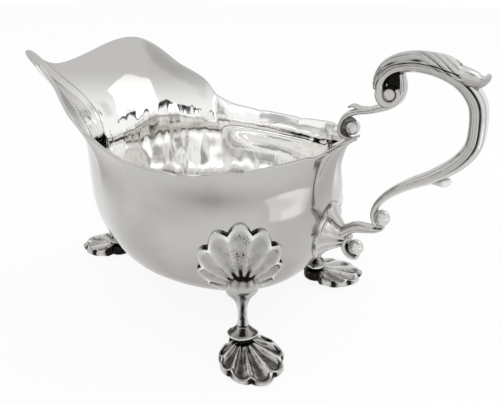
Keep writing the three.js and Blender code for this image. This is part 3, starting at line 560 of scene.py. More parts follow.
    @classmethod
    def formulas(
        cls, tree: Tree, size: dict[str, Formula],
    ) -> tuple[tuple[Formula, Formula, Formula], dict[str, Formula]]:
        """Place and marks of a point of the shell.

        Args:
            tree: tree that is being built.
            size: the tree's inputs.

        Returns:
            The formulas of x, y and z, and those of the marks by name.
        """
        position = tree.nodes.new("GeometryNodeInputPosition")
        parts = tree.nodes.new("ShaderNodeSeparateXYZ")
        tree.links.new(position.outputs[0], parts.inputs[0])
        turn = Formula(tree, parts.outputs["X"]) * FULL_TURN
        section = Formula(tree, parts.outputs["Y"]) + 0.5
        lobe = turn / (size["lobe_angle"] * math.radians(1.0))
        count = lobe.math("ABSOLUTE")
        on_fan = count.math("LESS_THAN", size["lobes"] * 0.5 + cls.FAN_SLACK)
        cosine = (lobe * math.pi).math("COSINE").math("ABSOLUTE")
        short = 1.0 - size["shortening"] * (count**size["fall"])
        edge = size["length"] * short * (1.0 - size["notch"] * (1.0 - cosine))
        reach = (edge * on_fan).math("MAXIMUM", size["heel"])
        out = (section / cls.FACE_END).clamped()
        back = ((section - cls.BACK_START) / (1.0 - cls.BACK_START)).clamped()
        roll = ((section - cls.FACE_END) / (cls.BACK_START - cls.FACE_END)).clamped() * math.pi
        share = out - back
        span = size["length"] - size["heel"]
        fallen = ((reach * out - size["heel"]) / span).clamped() ** size["slope_power"]
        slope = size["middle_height"] + (size["edge_height"] - size["middle_height"]) * fallen
        ridge = (0.5 - 0.5 * (lobe * FULL_TURN).math("COSINE")) * on_fan
        growth = out.step(*cls.SCOOP_START)
        fade = 1.0 - out.step(*cls.SCOOP_END)
        hollow = (1.0 - ridge**cls.HOLLOW_POWER) * growth * fade * on_fan
        bead = out.bump(cls.BEAD_AT, size["bead_spread"]) * on_fan
        dome = (((out / size["dome_spread"]) ** 2.0) * -0.5).math("EXPONENT") * size["dome"]
        crest = (ridge**cls.CREST_POWER) * growth
        top = slope + dome + size["ridge"] * crest + size["bead"] * bead - size["scoop"] * hollow
        lifted = size["lift"] * (1.0 - ridge) * share.step(*cls.LIFT_START) * on_fan
        low = size["underside"] + lifted
        half = (top - low) * 0.5
        height = low + half + half * roll.math("COSINE")
        radius = reach * share + half.math("MINIMUM", cls.ROLL_OUT) * roll.math("SINE")
        x = radius * turn.math("COSINE")
        y = radius * turn.math("SINE")
        root = out.bump(cls.ROOT_AT, cls.ROOT_SPREAD)
        root = root * (0.5 + 0.5 * (lobe * FULL_TURN).math("COSINE")) ** cls.ROOT_POWER
        facing = section.math("LESS_THAN", cls.FACE_END)
        rolled = 1.0 - facing
        # patina and painted shade in the hollows and at the roots, painted shadow at the notches,
        # darkening of the heel, and a film with painted shade on the face
        recess = (
            size["hollow_dark"] * ((1.0 - ridge) ** cls.DARK_POWER) * growth * fade * facing
            + size["root_dark"] * root * facing * on_fan
            + size["notch_dark"] * (ridge**cls.NOTCH_POWER) * rolled * on_fan
            + size["heel_dark"] * (1.0 - on_fan) * (1.0 - back)
            + size["film_and_shade"] * facing * fade
        )
        # wear and painted highlight on the rolled edge and on the crowns of the ridges
        corner = cls.BEAD_LOW + (1.0 - cls.BEAD_LOW) * (ridge**cls.BEAD_POWER)
        crowned = cls.RIDGE_BRIGHT * (ridge**cls.RIDGE_POWER) * growth * facing
        worn_and_sheen = size["worn_and_sheen"] * (bead * corner + crowned)
        return (x, y, height), {"recess": recess.clamped(), "shine": worn_and_sheen.clamped()}

    @classmethod
    def finish_tree(
        cls, tree: Tree, grid: bpy.types.Node,
        place: tuple[Formula, Formula, Formula], marks: dict[str, Formula],
        finish: Socket,
    ) -> None:
        """Adds the nodes from the grid to the output.

        Args:
            tree: tree that is being built.
            grid: node that makes the flat grid.
            place: formulas of x, y and z.
            marks: formulas of the marks by name.
            finish: input that gives the material.
        """
        joined = tree.nodes.new("ShaderNodeCombineXYZ")
        for socket, term in zip(joined.inputs, place):
            tree.links.new(term.value, socket)
        stores = []
        for name, mark in marks.items():
            store = tree.nodes.new("GeometryNodeStoreNamedAttribute")
            store.data_type = "FLOAT"
            store.domain = "POINT"
            store.inputs["Name"].default_value = name
            tree.links.new(mark.value, store.inputs["Value"])
            stores.append(store)
        move = tree.nodes.new("GeometryNodeSetPosition")
        tree.links.new(joined.outputs[0], move.inputs["Position"])
        weld = tree.nodes.new("GeometryNodeMergeByDistance")
        weld.inputs["Distance"].default_value = cls.WELD
        real = tree.nodes.new("GeometryNodeRealizeInstances")
        dress = tree.nodes.new("GeometryNodeSetMaterial")
        tree.links.new(finish, dress.inputs["Material"])
        result = tree.nodes.new("NodeGroupOutput")
        chain = (grid.outputs["Mesh"], *stores, move, weld, real, dress, result)
        for before, after in zip(chain, chain[1:]):
            start = before if isinstance(before, Socket) else before.outputs[0]
            tree.links.new(start, after.inputs[0])


# Finishes


@dataclass(frozen=True)
class Silver:
    """Old silver: hand polishing, wavy where it was raised, patina and painted shade in its
    hollows.
    """

    name: str
    colour: Triple
    # colour of the patina and of the painted shade
    shade_and_patina_colour: Triple
    roughness: float
    waviness: float  # metres
    grain: float  # metres
    scratch: float
    blotch: float  # how dark the smudges are
    # colour of worn polish and of painted sheen and highlights, where the shine mark lies
    polish_and_sheen: Triple = (0.922, 0.917, 0.901)
    wave_scale: float = 22.0
    grain_scale: float = 900.0
    uneven_scale: float = 420.0
    patchy: float = 1.2  # how unevenly the patina and painted shade lie
    SMUDGE_SCALE = 34.0  # every scale is in features to a metre
    SMUDGE = (0.46, 0.24)  # like SCRATCH, PIT and CROWD, start and span of a step over a noise
    DIRT_ROUGHNESS = 0.16  # roughness that full patina and painted shade, and the fine grain, add
    FINE_ROUGHNESS = 0.05
    SCRATCH_DEPTH = 0.6  # share of the grain's depth
    SCRATCH = (0.66, 0.1)
    SCRATCH_RUNS = ((0.5, 26.0), (-0.35, 40.0))  # angle and lengthwise scale
    SCRATCH_TILT = 0.3
    SCRATCH_SCALE = 1400.0
    RIPPLE_SCALE = (95.0, 95.0, 26.0)
    RIPPLE_DETAIL = 1.5
    RIPPLE_X = (0.006, -0.022)  # start and span, in metres, of the growth towards the lip
    RIPPLE_Z = (0.080, -0.012)  # and of the growth downwards
    RIPPLE_BACK = 0.35
    RIPPLE_LIP = 1.1
    EVEN_FROM = 0.85  # mark from which the patina and painted shade are dark all over
    PIT_SCALE = 2300.0
    PIT = (0.52, 0.07)
    CROWD_SCALE = 260.0
    CROWD = (0.4, 0.25)
    PIT_DARK = 0.9

    def make(self) -> bpy.types.Material:
        """Node material of this finish.

        Returns:
            The material.
        """
        material = bpy.data.materials.new(self.name)
        material.use_nodes = True
        tree = material.node_tree
        shader = tree.nodes["Principled BSDF"]
        shader.inputs["Metallic"].default_value = 1.0
        coords = tree.nodes.new("ShaderNodeTexCoord").outputs["Object"]
        smudge = self.noise(tree, coords, self.SMUDGE_SCALE, 4.0).step(*self.SMUDGE)
        scratches = self.scratches(tree, coords)
        recess = self.recess(tree, coords)
        # darkening: random smudges, and the patina and painted shade of the piece's mark
        dirt_and_shade = (smudge * self.blotch + recess).clamped()
        # the shine mark lifts the colour with worn polish and painted sheen
        clean = self.blended(tree, self.mark(tree, "shine").value, self.colour, self.polish_and_sheen)
        tone = self.blended(tree, dirt_and_shade.value, clean, self.shade_and_patina_colour)
        tree.links.new(tone, shader.inputs["Base Color"])
        fine = self.noise(tree, coords, self.grain_scale, 2.0)
        rough = self.roughness + scratches * self.scratch + dirt_and_shade * self.DIRT_ROUGHNESS
        rough = rough + (fine - 0.5) * self.FINE_ROUGHNESS
        tree.links.new(rough.clamped().value, shader.inputs["Roughness"])
        broad = self.noise(tree, coords, self.wave_scale, 1.0)
        broad = broad + self.ripples(tree, coords) * self.mark(tree, "shine")
        first = self.bumped(tree, broad, self.waviness, None)
        height = fine - scratches * self.SCRATCH_DEPTH
        second = self.bumped(tree, height, self.grain, first)
        tree.links.new(second, shader.inputs["Normal"])
        return material

    @staticmethod
    def mark(tree: Tree, name: str) -> Formula:
        """Mark of the piece's own points, 0 where it has none.

        Args:
            tree: tree of the material.
            name: name of the mark.

        Returns:
            The mark's field.
        """
        node = tree.nodes.new("ShaderNodeAttribute")
        node.attribute_name = name
        return Formula(tree, node.outputs["Fac"])

    @staticmethod
    def blended(
        tree: Tree, share: Socket,
        first: Triple | Socket,
        second: Triple | Socket,
    ) -> Socket:
        """Colour between two colours.

        Args:
            tree: tree of the material.
            share: share of the second colour.
            first: first colour, plain or as a socket.
            second: second colour, plain or as a socket.

        Returns:
            The colour's socket.
        """
        node = tree.nodes.new("ShaderNodeMix")
        node.data_type = "RGBA"
        node.clamp_factor = True
        tree.links.new(share, node.inputs["Factor"])
        for name, colour in (("A", first), ("B", second)):
            socket = next(s for s in node.inputs if s.name == name and s.type == "RGBA")
            if isinstance(colour, tuple):
                socket.default_value = (*colour, 1.0)
            else:
                tree.links.new(colour, socket)
        return next(s for s in node.outputs if s.type == "RGBA")

    @staticmethod
    def noise(
        tree: Tree, coords: Socket, scale: float, detail: float,
    ) -> Formula:
        """Noise field about 0.5.

        Args:
            tree: tree of the material.
            coords: the piece's coordinates.
            scale: scale of the noise.
            detail: its octaves.

        Returns:
            The field.
        """
        node = tree.nodes.new("ShaderNodeTexNoise")
        node.inputs["Scale"].default_value = scale
        node.inputs["Detail"].default_value = detail
        tree.links.new(coords, node.inputs["Vector"])
        return Formula(tree, node.outputs["Fac"])

    def ripples(self, tree: Tree, coords: Socket) -> Formula:
        """Upright hammer ripples inside the bowl, strongest towards the lip.

        Args:
            tree: tree of the material.
            coords: the piece's coordinates.

        Returns:
            The field.
        """
        squeeze = tree.nodes.new("ShaderNodeMapping")
        squeeze.inputs["Scale"].default_value = self.RIPPLE_SCALE
        tree.links.new(coords, squeeze.inputs["Vector"])
        axes = tree.nodes.new("ShaderNodeSeparateXYZ")
        tree.links.new(coords, axes.inputs["Vector"])
        start, span = self.RIPPLE_X
        forward = ((Formula(tree, axes.outputs["X"]) - start) / span).clamped()
        low = Formula(tree, axes.outputs["Z"]).step(*self.RIPPLE_Z)
        waves = self.noise(tree, squeeze.outputs["Vector"], 1.0, self.RIPPLE_DETAIL)
        return waves * (forward * self.RIPPLE_LIP + self.RIPPLE_BACK) * low

    def scratches(self, tree: Tree, coords: Socket) -> Formula:
        """Hair-fine wiping marks in two directions, 0 or near it between them.

        Args:
            tree: tree of the material.
            coords: the piece's coordinates.

        Returns:
            The field.
        """
        total = None
        for angle, long_scale in self.SCRATCH_RUNS:
            turn = tree.nodes.new("ShaderNodeMapping")
            turn.inputs["Rotation"].default_value = (angle, self.SCRATCH_TILT, angle)
            turn.inputs["Scale"].default_value = (
                long_scale, self.SCRATCH_SCALE, self.SCRATCH_SCALE,
            )
            tree.links.new(coords, turn.inputs["Vector"])
            lines = self.noise(tree, turn.outputs["Vector"], 1.0, 1.0).step(*self.SCRATCH)
            total = lines if total is None else total.math("MAXIMUM", lines)
        return total

    def recess(self, tree: Tree, coords: Socket) -> Formula:
        """Patina that gathers in the piece's hollows, and painted shade, from the piece's mark.

        Args:
            tree: tree of the material.
            coords: the piece's coordinates.

        Returns:
            The field.
        """
        uneven = self.noise(tree, coords, self.uneven_scale, 3.0)
        mark = self.mark(tree, "recess")
        # patina and painted shade, laid unevenly, and dark all over past EVEN_FROM
        settled = mark * (uneven * self.patchy + (1.0 - 0.5 * self.patchy))
        settled = settled + ((mark - self.EVEN_FROM) / (1.0 - self.EVEN_FROM)).clamped()
        pits = self.noise(tree, coords, self.PIT_SCALE, 2.0).step(*self.PIT)
        crowd = self.noise(tree, coords, self.CROWD_SCALE, 2.0).step(*self.CROWD)
        pits = pits * crowd * self.mark(tree, "pitting") * self.PIT_DARK
        return (settled + pits).clamped()

    @staticmethod
    def bumped(
        tree: Tree, height: Formula, distance: float,
        before: Socket | None,
    ) -> Socket:
        """Normal of a height field.

        Args:
            tree: tree of the material.
            height: height, 0 to 1.
            distance: metres that a height of 1 stands for.
            before: normal that this one is laid on.

        Returns:
            The normal's socket.
        """
        node = tree.nodes.new("ShaderNodeBump")
        node.inputs["Distance"].default_value = distance
        tree.links.new(height.value, node.inputs["Height"])
        if before is not None:
            tree.links.new(before, node.inputs["Normal"])
        return node.outputs["Normal"]


# The second colour of each is that of its patina and painted shade
RAISED_SILVER = Silver(
    "raised_silver", colour=(0.520, 0.512, 0.497), shade_and_patina_colour=(0.33, 0.305, 0.29), roughness=0.06,
    waviness=0.0009, grain=0.0000015, scratch=0.08, blotch=0.28, uneven_scale=30.0,
)
CAST_SILVER = Silver(
    "cast_silver", colour=(0.53, 0.52, 0.50), shade_and_patina_colour=(0.012, 0.010, 0.009), roughness=0.12,
    waviness=0.0008, grain=0.00004, scratch=0.10, blotch=0.12, wave_scale=210.0,
    grain_scale=800.0, patchy=2.0,
)
CHASED_SILVER = Silver(
    "chased_silver", colour=(0.52, 0.51, 0.49), shade_and_patina_colour=(0.010, 0.009, 0.008), roughness=0.11,
    waviness=0.0004, grain=0.00002, scratch=0.10, blotch=0.06, wave_scale=210.0,
    grain_scale=1000.0,
)


# Bowl


@dataclass
class Bowl:
    """Oval bellied bowl, raised from sheet, drawn out into a broad lip."""

    bottom_x: float = -4.0
    bottom_z: float = 13.0
    belly_x: float = -20.0
    belly_z: float = 50.5
    belly_half_width: float = 46.4
    belly_rear_length: float = 51.0
    belly_front_length: float = 68.0
    rear_fullness: float = 2.13
    front_fullness: float = 1.55
    fullness_blend: float = 0.6
    underside_rear: float = 2.2
    underside_front: float = 3.0
    wall: float = 1.3
    shoulder_rise: float = 0.48
    rim_evert: float = 0.42
    rim_reach: float = 0.56
    lip_evert: float = 0.45
    rim_front_length: float = 74.0
    lip_from_x: float = -38.0
    lip_blend: float = 36.0
    lip_sink: float = 0.18  # how much lower the lip's hollow lies on the +Y side
    lip_sink_span: float = 16.0
    scallop_rise: float = 0.75
    cusp_width: float = 1.8
    scallop_from: float = 0.82
    lug_evert: float = 1.9
    lug_reach: float = 0.34
    lug_half_width: float = 12.0
    lip_twist: float = 3.4
    lip_twist_x: float = -96.0
    lip_twist_span: float = 26.0
    lip_twist_power: float = 1.5
    around: int = 440
    climb: int = 84
    climb_power: float = 0.85  # below 1, rings stand closer together towards the rim
    edge_steps: int = 7
    edge_from: float = 0.9  # up from which the face draws back for the rounded edge
    edge_span: float = 0.1
    normal_step: float = 0.004
    wall_step: float = 0.02
    search_step: float = 0.001
    lowest_up: float = 0.001
    # Painted sheen on the inside, full up to shine_top less shine_fall and gone at shine_top, and
    # painted shade on the outer face towards the bottom
    shine_top: float = 90.0
    shine_fall: float = 22.0
    under_shade: float = 0.8
    # Darker clouds on the outer face, as x, side, z, length, height, depth
    dark_clouds: tuple = (
        (5.0, -1, 62.5, 15.0, 4.5, 0.9), (-8.0, -1, 56.0, 9.0, 4.0, 0.3),
        (-50.0, -1, 64.0, 10.0, 8.0, 0.5), (-30.0, 1, 48.0, 20.0, 8.0, 0.2),
        (32.0, -1, 61.0, 6.0, 14.0, 0.45), (2.0, -1, 21.0, 26.0, 7.0, 0.4),
    )
    # Rim edge of the +Y half from the handle round to the lip, as x, y, z
    rim_knots: tuple = (
        (38.9, 0, 78.4), (35.6, 3.9, 76.3), (33.4, 9.0, 75.0), (30.6, 14.5, 74.4),
        (15.8, 36.8, 72.4), (-4.9, 45.0, 70.5), (-27.8, 45.9, 71.3), (-50.4, 42.0, 77.2),
        (-56.8, 42.5, 82.8), (-68, 38.2, 90), (-79.8, 33.7, 97), (-88.5, 29.4, 100),
        (-97.5, 23.8, 98.6), (-108.5, 15.8, 94), (-119, 8, 91), (-126, 4.3, 91.2),
        (-131, 2.9, 93.4), (-134, 2.2, 95.3), (-135.3, 1.2, 96.3), (BEAK_X, 0, 96.5),
    )
    cusp_knots: tuple = (0, 3, 4, 5, 6, 7)

    def __post_init__(self) -> None:
        """Lays the rim line through its knots."""
        self.rim_line = SmoothLine(self.rim_knots, fair=True)
        self.cusps = self.rim_line.lengths[list(self.cusp_knots)] / self.rim_line.lengths[-1]

    def rim(self, share: Array, side: Array) -> tuple[Array, Array]:
        """Rim edge.

        Args:
            share: share of the half rim, 0 at the handle.
            side: +1 or -1.

        Returns:
            The edge without its scallops, and the scallops' height.
        """
        p = self.rim_line.at(share)
        half_length = self.rim_line.lengths[-1]
        wave = np.ones_like(share)
        for cusp in self.cusps:
            wave -= np.exp(-np.abs(share - cusp) * half_length / self.cusp_width)
        wave = self.scallop_rise * np.maximum(wave, 0.0) * (share < self.cusps[-1])
        away = (p[..., 0] - self.lip_twist_x) / self.lip_twist_span
        twist = self.lip_twist * np.maximum(0.0, 1.0 - away**2) ** self.lip_twist_power
        half_width = side * np.maximum(0.0, p[..., 1])
        return stack(p[..., 0], half_width, p[..., 2] + side * twist), wave

    def belly(self, rim: Array, side: Array) -> Array:
        """Widest section in the direction of rim points.

        Args:
            rim: rim points.
            side: 1 on the +Y side, -1 on the other.

        Returns:
            One point for each.
        """
        back = rim[..., 0] > self.belly_x
        reach = np.where(back, self.rim_knots[0][0] - self.belly_x, self.rim_front_length)
        along = (rim[..., 0] - self.belly_x) / reach
        angle = np.arctan2(np.abs(rim[..., 1]) / self.belly_half_width, along)
        length = np.where(back, self.belly_rear_length, self.belly_front_length)
        cosine = np.cos(angle)
        power = 2.0 / np.where(back, self.rear_fullness, self.front_fullness)
        power = mix(1.0, power, ease(np.abs(cosine) / self.fullness_blend))
        x = self.belly_x + length * np.sign(cosine) * np.abs(cosine) ** power
        return stack(x, side * self.belly_half_width * np.sin(angle) ** power, self.belly_z)

    def point(self, turn: Array, up: Array) -> Array:
        """Outer face.

        Args:
            turn: 0 at the handle, 1 at the beak along +Y, and on to 2 along -Y.
            up: 0 at the bottom, 0.5 at the belly, 1 at the rim.

        Returns:
            One point for each pair.
        """
        turn, up = np.broadcast_arrays(np.mod(turn, 2.0), np.asarray(up, float))
        side = np.where(turn <= 1.0, 1.0, -1.0)
        share = np.where(turn <= 1.0, turn, 2.0 - turn)
        rim, wave = self.rim(share, side)
        belly = self.belly(rim, side)
        low = self.underside(belly, share, up)
        high = self.upper(belly, rim, up)
        high[..., 2] += wave * step(up, self.scallop_from, 1.0 - self.scallop_from)
        return np.where((up < 0.5)[..., None], low, high)

    def underside(self, belly: Array, share: Array, up: Array) -> Array:
        """Face below the belly.

        Args:
            belly: points of the widest section.
            share: 0 at the handle, 1 at the beak.
            up: 0 at the bottom, 0.5 at the belly.

        Returns:
            One point for each.
        """
        angle = np.clip(up, 0.0, 0.5) * math.pi
        power = 2.0 / mix(self.underside_rear, self.underside_front, ease(share))
        reach = np.sin(angle) ** power
        drop = np.maximum(np.cos(angle), 0.0) ** power
        height = self.belly_z - (self.belly_z - self.bottom_z) * drop
        return stack(mix(self.bottom_x, belly[..., 0], reach), belly[..., 1] * reach, height)

    def upper(self, belly: Array, rim: Array, up: Array) -> Array:
        """Face from the belly up to the rim.

        Args:
            belly: points of the widest section.
            rim: rim points.
            up: 0.5 at the belly, 1 at the rim.

        Returns:
            One point for each.
        """
        out = unit(belly - np.array((self.belly_x, 0.0, self.belly_z)))
        span = rim - belly
        length = np.linalg.norm(span, axis=-1, keepdims=True)
        lipness = ease((self.lip_from_x - rim[..., :1]) / self.lip_blend)
        near_lug = ease(1.0 - np.abs(rim[..., 1:2]) / self.lug_half_width)
        lugness = np.where(rim[..., :1] > self.belly_x, near_lug, 0.0)
        plain = np.array((0.0, 0.0, 1.0)) + out * mix(self.rim_evert, self.lug_evert, lugness)
        lip = unit(span) + out * self.lip_evert
        leave = unit(mix(plain, lip, lipness))
        sunk = self.lip_sink * lipness * ease(rim[..., 1:2] / self.lip_sink_span)
        first = belly + np.array((0.0, 0.0, 1.0)) * length * (self.shoulder_rise - sunk)
        second = rim - leave * length * mix(self.rim_reach, self.lug_reach, lugness)
        t = clamp01(2.0 * up - 1.0)[..., None]
        return (
            (1 - t) ** 3 * belly + 3 * (1 - t) ** 2 * t * first
            + 3 * (1 - t) * t**2 * second + t**3 * rim
        )

    def normal(self, turn: Array, up: Array, aside: float) -> Array:
        """Outward unit normal of the outer face, taken over a little turn to each side.

        Args:
            turn: turn of each place.
            up: up of each place.
            aside: the little turn.

        Returns:
            One normal for each.
        """
        along = self.point(turn + aside, up) - self.point(turn - aside, up)
        low = np.maximum(up - self.normal_step, self.lowest_up)
        high = np.minimum(up + self.normal_step, 1.0)
        rise = self.point(turn, high) - self.point(turn, low)
        return unit(np.cross(along, rise))

    def surface(self) -> Surface:
        """Bowl with its wall and its rounded edge.

        Returns:
            The surface, bottom to rim on the outside and back down on the inside.
        """
        turns = np.arange(self.around) * 2.0 / self.around
        ups = np.linspace(0.0, 1.0, self.climb + 1)[1:]
        crowded = 0.5 + 0.5 * np.abs(2.0 * ups - 1.0) ** self.climb_power
        ups = np.where(ups > 0.5, crowded, ups)
        tangent = unit(self.point(turns, 1.0) - self.point(turns, 1.0 - self.normal_step))
        half = self.wall / 2.0
        outer = self.point(turns[None, :], ups[:, None])
        wall_normal = self.normal(turns[None, :], ups[:, None], self.wall_step)
        inner = outer - wall_normal * self.wall
        back = step(ups, self.edge_from, self.edge_span)[:, None, None] * half
        outer = outer - back * tangent
        inner = inner - back * tangent
        middle = (outer[-1] + inner[-1]) / 2.0
        sweep = np.linspace(0.0, math.pi, self.edge_steps + 2)[1:-1]
        edge = [
            middle + (outer[-1] - middle) * math.cos(a) + tangent * half * math.sin(a)
            for a in sweep
        ]
        rings = np.concatenate((outer, np.array(edge), inner[::-1]))
        inside = (np.arange(len(rings)) >= len(outer) + len(edge))[:, None]
        height = rings[..., 2]
        # painted sheen inside, and painted shade towards the bottom of the outer face, with darker
        # clouds
        shine = inside * ease((self.shine_top - height) / self.shine_fall)
        under = ease((self.belly_z - height) / (self.belly_z - self.bottom_z))
        film_and_shade = (1.0 - inside) * (self.under_shade * under + self.clouds(rings))
        return tube(rings, shine=shine, recess=film_and_shade)

    def clouds(self, points: Array) -> Array:
        """Darker clouds on the outer face.

        Args:
            points: points of the face.

        Returns:
            How much it darkens at each.
        """
        total = np.zeros(points.shape[:-1])
        for x, y, z, long, high, depth in self.dark_clouds:
            away = ((points[..., 0] - x) / long) ** 2 + ((points[..., 2] - z) / high) ** 2
            total += depth * np.exp(-away) * (points[..., 1] * y > 0.0)
        return total

    def place_under(self, x: float, y: float) -> tuple[float, float]:
        """Turn and up of the underside's point at a plan position.

        Args:
            x: plan x.
            y: plan y.

        Returns:
            The turn and the up.
        """
        turns = np.arange(0.0, 2.0, self.search_step)
        ring = self.point(turns, 0.5)
        around = np.arctan2(ring[:, 1], ring[:, 0] - self.bottom_x)
        miss = around - math.atan2(y, x - self.bottom_x)
        turn = turns[np.argmin(np.abs(np.arctan2(np.sin(miss), np.cos(miss))))]
        ups = np.arange(0.0, 0.5, self.search_step)
        line = self.point(turn, ups)
        reach = np.hypot(line[:, 0] - self.bottom_x, line[:, 1])
        return float(turn), float(np.interp(math.hypot(x - self.bottom_x, y), reach, ups))

    def height_under(self, x: Array, y: Array) -> Array:
        """Height of the underside over plan positions.

        Args:
            x: plan x of each place.
            y: plan y of each place.

        Returns:
            The heights.
        """
        found = []
        for px, py in zip(x, y):
            turn, up = self.place_under(px, py)
            found.append(self.point(np.array(turn), np.array(up))[2])
        return np.array(found)

    def build(self) -> None:
        """Builds and dresses the bowl."""
        Piece("bowl", Slot.BOWL).build(self.surface(), RAISED_SILVER.make())


class BowlPatch:
    """Millimetres across and up the bowl's face from a place on it.

    Args:
        bowl: the bowl.
        turn: turn of the place.
        up: up of the place.
    """

    STEPS = 240

    def __init__(self, bowl: Bowl, turn: float, up: float) -> None:
        """Measures the bowl's lines through the place."""
        self.bowl = bowl
        self.shares = np.linspace(0.0, 1.0, self.STEPS + 1)
        self.first_turn = turn - 0.5
        self.climb = running_lengths(bowl.point(turn, self.shares))
        self.girth = running_lengths(bowl.point(self.first_turn + self.shares, up))
        self.start_up = float(np.interp(up, self.shares, self.climb))
        self.start_turn = self.girth[self.STEPS // 2]

    def lay(self, x: Array, y: Array, distance: Array) -> Array:
        """Points at distances outside the face.

        Args:
            x: millimetres across.
            y: millimetres up.
            distance: distances outside the face.

        Returns:
            The points.
        """
        turn = self.first_turn + np.interp(self.start_turn + x, self.girth, self.shares)
        up = np.interp(self.start_up + y, self.climb, self.shares)
        normal = self.bowl.normal(turn, up, self.bowl.normal_step)
        return self.bowl.point(turn, up) + normal * np.asarray(distance)[..., None]


# Legs


SPOUT_LEG_X = -84.4
SPOUT_LEG_LEAN = 9.1
REAR_LEG_X = 11.8
REAR_LEG_Y = 31.3
REAR_LEG_ANGLE = math.radians(36.0)
REAR_LEG_LEAN = 0.6


